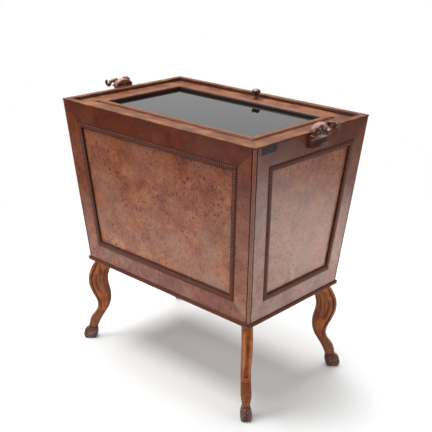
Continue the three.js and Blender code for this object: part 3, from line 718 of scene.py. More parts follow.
def skin(points: Sequence, recess: Sequence, matrix: Matrix = Matrix()) -> bmesh.types.BMesh:
    """Bends a grid of quads over rings of points, merges its seams and closes its ends.

    Args:
        points: Rings by points by three.
        recess: Rings by points: how far each point is carved in, from -1 on a crest to 1, which sets its
            painted highlight and painted shade.
        matrix: What carries the shape to its place.

    Returns:
        A closed mesh whose faces point outwards.
    """
    points, recess = [np.array(rings) for rings in (points, recess)]
    points, recess = [np.concatenate([rings, rings[:, :1]], axis=1) for rings in (points, recess)]
    rows, columns = recess.shape
    bm = bmesh.new()
    layer = bm.verts.layers.float.new("recess")
    bmesh.ops.create_grid(bm, x_segments=columns - 1, y_segments=rows - 1, size=1.0)
    for vert in bm.verts:
        column = round((vert.co.x + 1) / 2 * (columns - 1))
        row = round((vert.co.y + 1) / 2 * (rows - 1))
        vert.co = points[row, column]
        vert[layer] = recess[row, column]
    bmesh.ops.remove_doubles(bm, verts=bm.verts, dist=SAME_POINT)
    bmesh.ops.dissolve_degenerate(bm, edges=bm.edges, dist=SAME_POINT / 2)
    bmesh.ops.holes_fill(bm, edges=[edge for edge in bm.edges if edge.is_boundary], sides=0)
    bmesh.ops.recalc_face_normals(bm, faces=bm.faces)
    bmesh.ops.transform(bm, matrix=matrix, verts=bm.verts)
    return bm


def placed(bm: bmesh.types.BMesh, name: str) -> bpy.types.Object:
    """Puts a modelled mesh into the scene.

    Args:
        bm: The mesh. It is used up.
        name: The object's name.

    Returns:
        The object.
    """
    mesh = bpy.data.meshes.new(name)
    bm.to_mesh(mesh)
    bm.free()
    piece = bpy.data.objects.new(name, mesh)
    bpy.context.scene.collection.objects.link(piece)
    return piece


def finished(
    bm: bmesh.types.BMesh,
    name: str,
    finish: Finish,
    body: str,
    nodes: Iterable[str] = (),
    crease: float = 40.0,
) -> None:
    """Turns a modelled mesh into a piece that rides on its body and stands for its nodes.

    Args:
        bm: The mesh, in its place. It is used up.
        name: The piece's name.
        finish: Its finish.
        body: The body that it moves with.
        nodes: The nodes that it stands for.
        crease: Edges sharper than this many degrees stay sharp.
    """
    piece = placed(bm, name)
    piece.data.shade_smooth()
    piece.data.set_sharp_from_angle(angle=math.radians(crease))
    piece.data.materials.append(finish.material())
    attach(piece, body)
    if nodes:
        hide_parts(*nodes)
    LOG.info("%s: %d faces, %s", name, len(piece.data.polygons), finish.name)


def dress(node: str, finish: Finish, edge: float = 0.0005) -> None:
    """Gives a node its finish, and rounds its edges as sanding and use do.

    Args:
        node: The node's name.
        finish: Its finish.
        edge: How wide its rounded edges are, or nothing to leave them sharp.
    """
    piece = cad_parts[node]
    piece.data.materials.clear()
    piece.data.materials.append(finish.material())
    for polygon in piece.data.polygons:
        polygon.material_index = 0
    if edge:
        weld = piece.modifiers.new("weld", "WELD")
        weld.merge_threshold = SAME_POINT
        bevel = piece.modifiers.new("edges", "BEVEL")
        bevel.width = edge
        bevel.segments = EDGE_SEGMENTS
        bevel.limit_method = "ANGLE"
        bevel.angle_limit = math.radians(EDGE_ANGLE)
    LOG.info("%s: kept, %s", node, finish.name)


@dataclass
class Case:
    """The case: its boards, caps, beads and mouldings."""

    walls: list[Wall] = field(default_factory=lambda: [Wall.measured(side) for side in Side])
    # IOR and coat on the long sides, whose polish is duller, and on the ends
    polishes: tuple[Pair, Pair] = ((1.4, 0.2), (1.5, 0.7))
    # Where in the log the first side's veneer is cut, and how far from it the next side's
    first_leaf: float = 1.3
    leaf_step: float = 3.7
    cap_edge: float = 0.0004
    # The panel mouldings: a bead between two quirks, with cuts that leave cross ribs. What is lower
    # than the least share of the bead's rise is painted in full shade
    moulding_width: float = 0.015
    moulding_quirk: float = 0.0022
    moulding_rise: float = 0.0024
    panel_sink: float = 0.004
    glue_line: float = 0.0003
    rib_pitch: float = 0.0066
    rib_depth_share: float = 0.75
    rib_sharpness: float = 1.5
    rib_shade: float = 1.9
    rib_steps: int = 6
    rib_least_share: float = 0.25
    bead_steps: int = 10
    # A corner bead's round in degrees, and how far from its crest, in radians, it gets painted shade
    corner_sides: int = 24
    corner_arc: Pair = (157.0, -67.0)
    corner_shade: Pair = (1.1, 1.7)
    # The base mouldings: depth of the middle groove, and how the lower and upper bead are painted: a painted
    # highlight on the lower one, a little darker on the upper
    base_groove: float = 0.0025
    base_bead_light: Pair = (-1.0, 0.2)

    def build(self) -> None:
        """Dresses the boards and caps, and models the mouldings and beads."""
        for i, wall in enumerate(self.walls):
            label, axis = wall.side.label, wall.side.axis
            ior, coat = self.polishes[axis]
            burr = BurrVeneer(
                f"burr_walnut_veneer_{label}", Slot.BURR, ior=ior, coat=coat, wall=wall,
                seed=self.first_leaf + i * self.leaf_step,
            )
            dress(f"{label}_board", burr)
            dress(f"{label}_rim_cap", RIM_WOOD.along(axis), edge=self.cap_edge)
            self.panel_moulding(wall)
            self.base_moulding(wall)
        for corner in Corner:
            self.corner_bead(corner)

    def panel_moulding(self, wall: Wall) -> None:
        """Runs the ribbed bead round a wall's sunk panel, with mitred corners.

        Args:
            wall: The wall.
        """
        quirk = self.moulding_quirk / self.moulding_width
        floor = self.glue_line - self.panel_sink
        bead = arc(quirk, 1 - quirk, self.moulding_rise, self.bead_steps)
        shares, heights = np.array([(0.0, floor), (0.0, 0.0), *bead, (1.0, 0.0), (1.0, floor)]).T
        ribbed = np.full(len(shares), False)
        ribbed[2:-2] = True
        outer = self.panel_corners(wall, 0.0)
        inner = self.panel_corners(wall, self.moulding_width)
        rows, recess = [], []
        for i, start in enumerate(outer):
            j = (i + 1) % len(outer)
            length = float(np.linalg.norm(outer[j] - start))
            way = (outer[j] - start) / length
            first = start + shares[:, None] * (inner[i] - start)
            last = outer[j] + shares[:, None] * (inner[j] - outer[j])
            low, high = (first - start) @ way, (last - start) @ way
            steps = round(length / self.rib_pitch) * self.rib_steps
            for step in range(steps + 1):
                part = (np.clip(length * step / steps, low, high) - low) / (high - low)
                cut = (0.5 + 0.5 * math.cos(2 * math.pi * step / self.rib_steps)) ** self.rib_sharpness
                rise = np.where(ribbed, heights * (1 - self.rib_depth_share * cut), heights)
                rows.append(first + part[:, None] * (last - first) + rise[:, None] * wall.normal)
                # Rib crests get a painted highlight and the cuts between them painted shade; the quirks are
                # painted in full shade
                proud = ribbed & (rise >= self.moulding_rise * self.rib_least_share)
                recess.append(np.where(proud, self.rib_shade * cut - 1, 1.0))
        node = f"{wall.side.label}_panel_moulding"
        finish = MOULDING_WOOD.along(wall.side.axis)
        finished(skin(rows, recess, wall.side.matrix), f"{node}_ribbed", finish, CASE, [node])

    def panel_corners(self, wall: Wall, inset: float) -> np.ndarray:
        """Finds the panel's four corners on a wall's face.

        Args:
            wall: The wall.
            inset: How far they are drawn in.

        Returns:
            The corners in their order, the lower left one first.
        """
        low, high = wall.panel_low + inset, wall.panel_high - inset
        corners = []
        for height, sign in ((low, -1), (low, 1), (high, 1), (high, -1)):
            along = wall.half(height) - wall.border - inset
            corners.append((sign * along, -wall.out(height), height))
        return np.array(corners)

    def base_moulding(self, wall: Wall) -> None:
        """Runs the double bead along a side's bottom edge, mitred at its ends.

        Args:
            wall: The side's wall.
        """
        node = f"{wall.side.label}_base_moulding"
        solid = wall.side.seen(node)
        low, high = solid[:, 2].min(), solid[:, 2].max()
        out, inner = -solid[:, 1].min(), -solid[:, 1].max()
        face, half, middle = float(wall.out(high)), float(wall.half(high)), (low + high) / 2
        groove = face - self.base_groove
        lower, upper = [arc(*ends, out - groove, self.bead_steps) for ends in ((low, middle), (middle, high))]
        outline = [(level, groove + rise) for level, rise in lower + upper[1:]]
        outline += [(high, inner), (low, inner)]
        rows = [
            [(sign * (half + reach - face - self.glue_line), -reach, level) for level, reach in outline]
            for sign in (-1, 1)
        ]
        # The groove is painted in full shade, and the lower bead gets a painted highlight
        lower_highlight, upper_darkening = self.base_bead_light
        light_and_shade = [
            1.0 if reach < groove + MILLIMETRE else lower_highlight if level < middle else upper_darkening
            for level, reach in outline
        ]
        finish = MOULDING_WOOD.along(wall.side.axis)
        bm = skin(rows, [light_and_shade, light_and_shade], wall.side.matrix)
        finished(bm, f"{node}_beads", finish, CASE, [node])

    def corner_bead(self, corner: Corner) -> None:
        """Lays the round bead in a corner's notch, on a block that fills the notch behind it.

        Args:
            corner: The corner.
        """
        node = f"{corner.label}_corner_bead"
        solid = vertices(node)
        angles = np.radians(np.linspace(*self.corner_arc, self.corner_sides))
        round_line = np.stack([np.cos(angles), np.sin(angles), 0 * angles], axis=1)
        ends = []
        for level in (solid[:, 2].min(), solid[:, 2].max()):
            ring = solid[np.abs(solid[:, 2] - level) < SAME_POINT]
            bead = float(np.ptp(ring[:, 0])) / 2 * round_line
            heel = bead.min()
            block = np.array([(bead[-1, 0], heel, 0.0), (heel, heel, 0.0), (heel, bead[0, 1], 0.0)])
            ends.append((ring.min(0) + ring.max(0)) / 2 + np.concatenate([bead, block]) * corner.signs)
        # The bead's flanks and the block behind it are painted dark: painted shade in the notch
        light_and_shade = [*smooth(np.abs(angles - math.pi / 4), *self.corner_shade), 1.0, 1.0, 1.0]
        finished(skin(ends, [light_and_shade, light_and_shade]), f"{node}_round", BEAD_WOOD, CASE, [node])


@dataclass(frozen=True)
class Cut:
    """A carved line: its depth, half its width, and the levels where it fades in and out.

    One with a depth under nothing stands proud instead.
    """

    depth: float
    width: float
    levels: Optional[Four] = None

    def at(self, off: np.ndarray, height: Optional[np.ndarray] = None) -> np.ndarray:
        """How deep it goes at a distance from its middle and at a height."""
        depth = self.depth * np.exp(-((off / self.width) ** 2))
        return depth * between(height, *self.levels) if self.levels else depth


@dataclass
class Leg:
    """A carved leg, S-shaped from its side, in a frame with X out along the corner's diagonal."""

    corner: Corner
    rows: int = 190
    sides: int = 96
    # The fewest points in a level of its node that shows its whole outline, and the decimals of a
    # metre that tell two points apart
    ring_points: int = 16
    decimals: int = 5
    squareness: float = 0.56
    # The channel down its outer face, with a deeper line in its middle and lips beside it
    channel: Cut = Cut(0.0034, 0.0052, (0.1, 0.108, 0.226, 0.24))
    line: Cut = Cut(0.0012, 0.0012, (0.12, 0.15, 0.2, 0.225))
    lips: Cut = Cut(-0.0014, 0.001, (0.1, 0.108, 0.226, 0.24))
    lip_place: float = 0.00754
    # The cut beside the outer edge on both flanks, and a shallower one beside the inner edge
    rim: Cut = Cut(0.0021, 0.0021, (0.088, 0.105, 0.225, 0.24))
    rim_inset: float = 0.0105
    back: Cut = Cut(0.0014, 0.002, (0.14, 0.16, 0.215, 0.235))
    back_inset: float = 0.011
    # The leaf on each flank: it leans inwards by a share of the leg's width a metre, from the leg's
    # middle at a level. Its taper is a power that sets its widest place below its middle, and its
    # floor is flat out to a share of its half width
    leaf_levels: Four = (0.148, 0.156, 0.226, 0.236)
    leaf_depth: float = 0.0024
    leaf_half: float = 0.0105
    leaf_edge: float = 0.0012
    leaf_lean: float = 0.9
    leaf_middle: float = 0.19
    leaf_taper: float = 0.75
    leaf_flat_share: float = 0.55
    vein: Cut = Cut(-0.0016, 0.0014, (0.148, 0.156, 0.226, 0.236))
    # The rings that close the channel, dipping in their middle
    ring: Cut = Cut(-0.0012, 0.0011)
    ring_levels: Pair = (0.1045, 0.0985)
    ring_dip: float = 0.0045
    # The fetlock tufts, with their waves across and up in radians a metre, and a shift of the last
    tufts: Cut = Cut(-0.0009, 0.011)
    tuft_level: float = 0.064
    tuft_waves: Pair = (620.0, 560.0)
    tuft_shift: float = 1.2
    # The hoof: its upper edge, its cleft and the line round its sole
    hoof_top: float = 0.034
    hoof_edge: float = 0.004
    coronet: Cut = Cut(0.0016, 0.0016)
    cleft: Cut = Cut(0.003, 0.0017)
    sole: Cut = Cut(0.0012, 0.0008)
    sole_level: float = 0.006
    # Depth of a cut that is painted in full shade, and the painted shade on the inner edge and beside the
    # outer face
    shade_depth: float = 0.0022
    back_shade: float = 0.0011
    side_shade: float = 0.0019
    side_shade_across: Pair = (0.76, 0.97)
    # How much of the channel's and of the leaf's depth is painted as shade
    shade_shares: Pair = (0.2, 0.8)
    # From which cosine of the angle round from the outer edge each form shows, and where it shows
    # in full. The flanks go by the sine, and the back by the cosine from the inner edge
    front: Pair = (0.35, 0.75)
    flanks: Pair = (0.35, 0.7)
    ring_front: Pair = (0.1, 0.5)
    tuft_front: Pair = (-0.2, 0.4)
    cleft_front: Pair = (0.2, 0.7)
    side_shade_front: Pair = (0.3, 0.5)
    back_shade_rear: Pair = (0.0, 0.9)

    def outline(self, foot: np.ndarray) -> np.ndarray:
        """Reads the leg's outline off its node.

        Args:
            foot: The point on the floor under the case's lower corner.

        Returns:
            Rows of level, inner edge, outer edge and half width.
        """
        points = turned(vertices(f"{self.corner.label}_leg") - foot, -self.corner.turn)
        outline = []
        for level in np.unique(np.round(points[:, 2], self.decimals)):
            ring = points[np.abs(points[:, 2] - level) < SAME_POINT]
            if len(np.unique(np.round(ring, self.decimals), axis=0)) >= self.ring_points:
                outline.append((level, ring[:, 0].min(), ring[:, 0].max(), ring[:, 1].max()))
        # The topmost level is the end of the spigot, which the case hides
        return np.array(outline[:-1])

    @staticmethod
    def eased(levels: np.ndarray, values: np.ndarray, height: np.ndarray) -> np.ndarray:
        """Reads a smooth curve through values at levels.

        Args:
            levels: The levels, upwards.
            values: The curve's value at each.
            height: Where the curve is read.

        Returns:
            Its value at each height.
        """
        slopes = np.gradient(values, levels)
        i = np.clip(np.searchsorted(levels, height) - 1, 0, len(levels) - 2)
        span = levels[i + 1] - levels[i]
        t = (height - levels[i]) / span
        return (
            (2 * t**3 - 3 * t**2 + 1) * values[i]
            + (t**3 - 2 * t**2 + t) * span * slopes[i]
            + (3 * t**2 - 2 * t**3) * values[i + 1]
            + (t**3 - t**2) * span * slopes[i + 1]
        )

    def build(self) -> None:
        """Wraps the skin round the outline, carves it and puts it under its corner."""
        foot = self.corner.signs * (Wall.reach(Side.RIGHT)[2], Wall.reach(Side.BACK)[2], 0.0)
        levels, *edges = self.outline(foot).T
        height = np.linspace(0, levels[-1], self.rows)[:, None]
        angle = np.linspace(0, 2 * math.pi, self.sides, endpoint=False)[None, :]
        inner, outer, wide = (self.eased(levels, values, height) for values in edges)
        c, s = np.cos(angle), np.sin(angle)
        out, aside = (np.sign(part) * np.abs(part) ** self.squareness for part in (c, s))
        along = (inner + outer) / 2 + (outer - inner) / 2 * out
        across = wide * aside
        depth, light_and_shade = self.carving(height, along, across, (inner, outer, wide), angle)
        facing = np.stack(np.broadcast_arrays(c * wide, s * (outer - inner) / 2, 0.0), axis=-1)
        facing = facing / np.linalg.norm(facing, axis=-1, keepdims=True)
        points = np.stack(np.broadcast_arrays(along, across, height), axis=-1) - depth[..., None] * facing
        matrix = Matrix.Translation(foot) @ Matrix.Rotation(self.corner.turn, 4, "Z")
        bm = skin(points, np.clip(light_and_shade / self.shade_depth, -1, 1), matrix)
        node = f"{self.corner.label}_leg"
        finished(bm, f"{node}_carved", LEG_WOOD, CASE, [node], crease=70)

    def carving(
        self,
        height: np.ndarray,
        along: np.ndarray,
        across: np.ndarray,
        edges: tuple[np.ndarray, np.ndarray, np.ndarray],
        angle: np.ndarray,
    ) -> tuple[np.ndarray, np.ndarray]:
        """How deep the carving goes at each point of the leg, and how dark it is painted as shade.

        Args:
            height: Level of each row.
            along: Place outwards along the diagonal.
            across: Place across the diagonal.
            edges: The outline's inner and outer edge and half width at each level.
            angle: The angle round the leg, from its outer edge.

        Returns:
            Depths in metres, less than nothing where a form stands proud, and the painted shade and
            highlight: the same with less of the channel and the leaf, plus painted shade on the back and
                flanks.
        """
        inner, outer, wide = edges
        c = np.cos(angle)
        front = smooth(c, *self.front)
        flank = smooth(np.abs(np.sin(angle)), *self.flanks)
        channel = self.channel.at(across, height) * front
        lines = self.line.at(across, height) + self.lips.at(np.abs(across) - self.lip_place, height)
        cuts = lines * front
        cuts += self.rim.at(outer - along - self.rim_inset, height) * flank
        cuts += self.back.at(along - inner - self.back_inset, height) * flank
        # The leaf is a drop-shaped hollow with its vein left standing
        off = np.abs(along - inner - (outer - inner) * (0.5 - self.leaf_lean * (height - self.leaf_middle)))
        low, high = self.leaf_levels[0], self.leaf_levels[-1]
        rise = np.clip((height - low) / (high - low), 0, 1)
        half = self.leaf_half * np.sin(math.pi * rise**self.leaf_taper)
        hollow = 1 - smooth(off, half * self.leaf_flat_share, half + self.leaf_edge)
        leaf = self.leaf_depth * hollow * between(height, *self.leaf_levels) * flank
        cuts += self.vein.at(off, height) * flank
        for level in self.ring_levels:
            dip = level - self.ring_dip * (1 - (across / wide) ** 2)
            cuts += self.ring.at(height - dip) * smooth(c, *self.ring_front)
        waves = np.sin(across * self.tuft_waves[0]) * np.sin(height * self.tuft_waves[1] + self.tuft_shift)
        tufts = self.tufts.at(height - self.tuft_level) * np.maximum(0, waves)
        cuts += tufts * smooth(c, *self.tuft_front)
        hoof = 1 - smooth(height, self.hoof_top - self.hoof_edge, self.hoof_top)
        cuts += self.cleft.at(across) * hoof * smooth(c, *self.cleft_front)
        cuts += self.coronet.at(height - self.hoof_top) + self.sole.at(height - self.sole_level)
        # Painted shade beside the outer face and on the inner edge, where the leg turns away from the light
        sides = smooth(np.abs(across) / wide, *self.side_shade_across) * smooth(c, *self.side_shade_front)
        edge_shade = self.back_shade * smooth(-c, *self.back_shade_rear) + self.side_shade * sides
        in_channel, in_leaf = self.shade_shares
        return channel + leaf + cuts, in_channel * channel + in_leaf * leaf + cuts + edge_shade


@dataclass
class Lid:
    """The lid: framed black glass with a glazing moulding and a turned knob."""

    rail_edge: float = 0.0006
    glass_edge: float = 0.0004
    # The glazing moulding: how far its crest lies over its seat, less the slack at the least; a bead
    # with its foot and rise as shares of that; a quirk; and a quarter round that falls to just above
    # the glass, on a lip that goes down to it
    moulding_rise: float = 0.003
    rise_slack: float = 0.0004
    bead: float = 0.0042
    bead_shares: Pair = (0.35, 0.55)
    quirk: float = 0.0012
    ovolo: float = 0.007
    lip: float = 0.0054
    glass_gap: float = 0.0012
    # Painted shade lies at its foot, and in the quirk: shares of crown, bead, quirk and crown that bound it
    foot_shade: float = 0.3
    quirk_shade: Triple = (0.9, 0.2, 0.5)
    steps: int = 8
    # The knob: its gap to the rail, radius of its stem and collar, radius and level up its outline
    knob_sides: int = 48
    knob_gap: float = 0.0003
    knob_foot_shares: Pair = (0.34, 0.61)
    knob_shares: tuple[Pair, ...] = (
        (0.62, 0.03), (0.64, 0.06), (0.62, 0.09), (0.5, 0.1), (0.44, 0.14), (0.36, 0.22), (0.34, 0.32),
        (0.38, 0.42), (0.5, 0.48), (0.72, 0.53), (0.9, 0.6), (0.98, 0.68), (1.0, 0.74), (0.97, 0.8),
        (0.88, 0.87), (0.72, 0.93), (0.5, 0.97), (0.25, 0.995), (0.0, 1.0),
    )

    def build(self) -> None:
        """Dresses the frame and the glass, and models the mouldings and the knob."""
        for side in Side:
            dress(f"lid_{side.label}_rail", RIM_WOOD.along(side.axis), edge=self.rail_edge)
            self.glazing_moulding(side)
        dress("lid_glass", BLACK_GLASS, edge=self.glass_edge)
        dress("lid_backing_board", INNER_WOOD)
        self.knob()

    def glazing_moulding(self, side: Side) -> None:
        """Shapes a side's moulding: a bead, a quirk, a flat and a quarter round down to the glass.

        Args:
            side: The side.
        """
        node = f"lid_{side.label}_moulding"
        solid = side.seen(node)
        low, high = solid[:, 2].min(), solid[:, 2].max()
        outer, inner = -solid[:, 1].min(), -solid[:, 1].max()
        half, width = float(np.abs(solid[:, 0]).max()), outer - inner
        seat = solid[solid[:, 2] < high - self.moulding_rise + self.rise_slack]
        foot = float(seat[seat[:, 2] > low + SAME_POINT][:, 2].min())
        crown = high - foot
        fall = high - low - self.glass_gap
        start, rise = (share * crown for share in self.bead_shares)
        angles = np.linspace(0, math.pi / 2, self.steps + 1)
        edge = self.bead + self.quirk
        profile = [(0.0, 0.0)]
        profile += [(x, start + y) for x, y in arc(0.0, self.bead, rise, self.steps)]
        profile += [(edge, start), (edge, crown)]
        profile += [
            (width - self.ovolo * (1 - math.sin(a)), crown - fall * (1 - math.cos(a))) for a in angles
        ]
        profile += [(width, low - foot), (width - self.lip, low - foot), (width - self.lip, 0.0)]
        rows = [[(sign * (half - x), x - outer, foot + y) for x, y in profile] for sign in (-1, 1)]
        near, far, top = self.quirk_shade
        first, last = self.bead * near, edge + self.quirk * far
        # The foot and the quirk are painted near-black: painted shade
        light_and_shade = [float(y < crown * self.foot_shade or first < x < last and y < crown * top) for x, y in profile]
        bm = skin(rows, [light_and_shade, light_and_shade], side.matrix)
        finished(bm, f"{node}_run", GLAZING_WOOD.along(side.axis), LID, [node])

    def knob(self) -> None:
        """Spins the knob: a collar, a thin neck and a mushroom head."""
        low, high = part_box("lid_knob")
        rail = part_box("lid_front_rail")[1].z
        radius = (high.x - low.x) / 2
        stem, collar = self.knob_foot_shares
        seat = rail + self.knob_gap
        outline = [(0.0, low.z), (stem, low.z), (stem, seat), (collar, seat)]
        outline += [(share, rail + level * (high.z - rail)) for share, level in self.knob_shares]
        bm = bmesh.new()
        profile = [bm.verts.new((share * radius, 0.0, level)) for share, level in outline]
        edges = [bm.edges.new(pair) for pair in zip(profile, profile[1:])]
        bmesh.ops.spin(
            bm, geom=[*profile, *edges], cent=(0, 0, 0), axis=(0, 0, 1), angle=2 * math.pi,
            steps=self.knob_sides, use_merge=True,
        )
        bmesh.ops.remove_doubles(bm, verts=bm.verts, dist=SAME_POINT)
        bmesh.ops.recalc_face_normals(bm, faces=bm.faces)
        bmesh.ops.translate(bm, vec=((low.x + high.x) / 2, (low.y + high.y) / 2, 0.0), verts=bm.verts)
        finished(bm, "lid_knob_turned", KNOB_WOOD, LID, ["lid_knob"])


@dataclass
class Handle:
    """A carved handle: a ram's head with coiled horns and a thick mane, on a hollowed bracket.

    Its places are X outwards from the rim, Y aside from the head's middle and Z up from the rim.
    """

    label: str
    # How finely its forms are melted together and softened, and the flats round and up a lump
    voxel: float = 0.0007
    soften_steps: int = 3
    soften_share: float = 0.5
    lump_sides: tuple[int, int] = (16, 10)
    # Places and half sizes of the eye, the ear and the nostril's wing
    eye: tuple[Triple, Triple] = ((0.0272, 0.0098, 0.0088), (0.0032, 0.0024, 0.0026))
    ear: tuple[Triple, Triple] = ((0.0262, 0.0185, 0.0035), (0.0032, 0.0072, 0.0024))
    ear_tilt: float = -0.45
    wing: tuple[Triple, Triple] = ((0.0372, 0.0046, 0.0060), (0.0026, 0.0030, 0.0026))
    # The coiled horn's middle line: its root starts nearer to the rim and the head's middle
    horn_middle: Triple = (0.031, 0.035, 0.0105)
    horn_radius: float = 0.007
    root: Pair = (0.009, 0.023)
    root_share: float = 0.24
    tip_spread: float = 0.003
    tip_share: float = 0.4
    start_turn: float = 0.22
    turns: float = 0.98
    line_steps: int = 160
    # The horn's thickness at root and tip, and the ridges cut across it
    thickness: Pair = (0.0125, 0.00725)
    horn_edge: Pair = (0.0004, 0.0016)
    ridges: int = 26
    ridge_depth: float = 0.0009
    # The mane: where it ends outwards and downwards, its curls, and the hollow in its back
    mane_reach: Pair = (0.0175, 0.0215)
    mane_foot: Pair = (-0.005, -0.002)
    fleece_pitch: float = 0.0052
    fleece_depth: float = 0.0009
    fleece_bend: float = 420.0
    fleece_lean: float = 0.3
    pane_across: Four = (0.003, 0.005, 0.0235, 0.0275)
    pane_up: Four = (0.0005, 0.002, 0.0075, 0.0095)
    pane_depth: float = 0.0028
    # How squarely a face looks inwards on the mane's back, and outwards on the bracket's front
    inwards: Pair = (0.6, 0.9)
    outwards: Pair = (0.4, 0.8)
    # The face: nostrils, the line between the lips and the line round each eye
    nostril: Cut = Cut(0.0016, 0.0014)
    nostril_place: Triple = (0.0398, 0.0036, 0.0062)
    lips: Cut = Cut(0.001, 0.0008)
    lips_place: Pair = (0.041, -0.0003)
    lips_slope: float = 0.1
    lips_reach: Pair = (0.0285, 0.032)
    lips_half: Pair = (0.01, 0.013)
    brow: Cut = Cut(0.0008, 0.0009)
    brow_radius: float = 0.0042
    # The bracket: a line round its foot, and its hollowed front
    cove: Cut = Cut(0.0006, 0.0007)
    cove_level: float = -0.0335
    cove_reach: Pair = (0.01, 0.013)
    front_depth: float = 0.0005
    front_levels: Four = (-0.034, -0.031, -0.0135, -0.0115)

    def build(self) -> None:
        """Carves the head, horns, mane and bracket out of one block."""
        node = f"{self.label}_handle"
        low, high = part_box(f"{self.label}_rim_cap")
        turn = Matrix.Rotation(0.0 if self.label == "right" else math.pi, 4, "Z")
        matrix = turn @ Matrix.Translation((max(-low.x, high.x), 0.0, high.z))
        bm = bmesh.new()
        bm.from_mesh(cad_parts[node].data)
        bmesh.ops.remove_doubles(bm, verts=bm.verts, dist=SAME_POINT)
        bmesh.ops.transform(bm, matrix=matrix.inverted(), verts=bm.verts)
        across, up = self.lump_sides
        for sign in (-1, 1):
            for (place, radii), tilt in ((self.eye, 0.0), (self.ear, self.ear_tilt), (self.wing, 0.0)):
                shape = Matrix.Rotation(sign * tilt, 4, "X") @ Matrix.Diagonal((*radii, 1.0))
                shape = Matrix.Translation((place[0], sign * place[1], place[2])) @ shape
                bmesh.ops.create_uvsphere(bm, u_segments=across, v_segments=up, radius=1.0, matrix=shape)
        bm = self.fused(bm)
        layer = bm.verts.layers.float.new("recess")
        places = np.array([vert.co for vert in bm.verts])
        facing = np.array([vert.normal for vert in bm.verts])
        for vert, place, way, cut in zip(bm.verts, places, facing, self.carving(places, facing)):
            vert.co = place - way * cut
            # The carving's depth sets painted shade in the cuts and a painted highlight on what stands proud
            vert[layer] = min(1.0, max(-1.0, cut / self.ridge_depth))
        bmesh.ops.transform(bm, matrix=matrix, verts=bm.verts)
        finished(bm, f"{node}_carved", HANDLE_WOOD, CASE, [node], crease=80)

    def fused(self, bm: bmesh.types.BMesh) -> bmesh.types.BMesh:
        """Melts the mesh's shells into one fine skin.

        Args:
            bm: The mesh. It is used up.

        Returns:
            The skin.
        """
        block = placed(bm, "handle_blank")
        melt = block.modifiers.new("melt", "REMESH")
        melt.mode = "VOXEL"
        melt.voxel_size = self.voxel
        soften = block.modifiers.new("soften", "SMOOTH")
        soften.factor = self.soften_share
        soften.iterations = self.soften_steps
        graph = bpy.context.evaluated_depsgraph_get()
        melted = bpy.data.meshes.new_from_object(block.evaluated_get(graph))
        bpy.data.objects.remove(block)
        bm = bmesh.new()
        bm.from_mesh(melted)
        bm.normal_update()
        return bm

    def horn_line(self, share: np.ndarray) -> np.ndarray:
        """Draws the middle line of the horn on the +Y side.

        Args:
            share: Shares of its run, from its root.

        Returns:
            A point for each share.
        """
        turn = 2 * math.pi * (self.start_turn + self.turns * share)
        root = 1 - smooth(share, 0, self.root_share)
        tip = smooth(share, 1 - self.tip_share, 1)
        x = self.horn_middle[0] - root * self.root[0] + self.horn_radius * np.cos(turn)
        y = self.horn_middle[1] - root * self.root[1] + tip * self.tip_spread
        z = self.horn_middle[2] + self.horn_radius * np.sin(turn)
        return np.stack([x, y, z], axis=1)

    def carving(self, places: np.ndarray, facing: np.ndarray) -> np.ndarray:
        """How deep the carving goes at each place: ridged horns, fleece, face and the mane's back.

        Args:
            places: Points with X outwards from the rim and Z upwards from it.
            facing: The surface's normals there.

        Returns:
            Depths in metres, less than nothing where a form stands proud.
        """
        x, y, z = places.T
        aside = np.abs(y)
        mirrored = np.stack([x, aside, z], axis=1)
        share = np.linspace(0, 1, self.line_steps)
        off = np.linalg.norm(mirrored[:, None, :] - self.horn_line(share)[None, :, :], axis=2)
        along = share[off.argmin(axis=1)]
        root, tip = self.thickness
        radius = root / 2 + (tip - root) / 2 * along
        horn = 1 - smooth(off.min(axis=1) - radius, *self.horn_edge)
        depth = horn * self.ridge_depth * (0.5 + 0.5 * np.cos(2 * math.pi * self.ridges * along))
        mane = (1 - smooth(x, *self.mane_reach)) * smooth(z, *self.mane_foot) * (1 - horn)
        back = smooth(-facing[:, 0], *self.inwards)
        pitch = self.fleece_pitch / (2 * math.pi)
        curls = np.sin((aside + self.fleece_lean * z) / pitch)
        curls *= np.sin((z + x) / pitch + np.sin(aside * self.fleece_bend))
        depth -= mane * (1 - back) * self.fleece_depth * curls
        depth += self.pane_depth * between(aside, *self.pane_across) * between(z, *self.pane_up) * back
        depth += self.nostril.at(np.linalg.norm(mirrored - self.nostril_place, axis=1))
        falling = z - self.lips_place[1] - (self.lips_place[0] - x) * self.lips_slope
        depth += self.lips.at(falling) * smooth(x, *self.lips_reach) * (1 - smooth(aside, *self.lips_half))
        brow = np.linalg.norm(mirrored - self.eye[0], axis=1) - self.brow_radius
        depth += self.brow.at(brow) * (1 - horn)
        depth += self.cove.at(z - self.cove_level) * smooth(x, *self.cove_reach)
        hollow = smooth(facing[:, 0], *self.outwards) * between(z, *self.front_levels)
        return depth + self.front_depth * hollow


@dataclass
class Inside:
    """What the case holds: the liner, the bottle divisions, the ledges and the bottom."""

    division_edge: float = 0.0004

    def build(self) -> None:
        """Dresses each inner node."""
        for side in Side:
            dress(f"{side.label}_lid_ledge", INNER_WOOD)
        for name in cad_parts:
            if "division" in name:
                dress(name, INNER_WOOD, edge=self.division_edge)
        dress("zinc_liner", OLD_ZINC, edge=0.0)
        dress("bottom_board", INNER_WOOD)


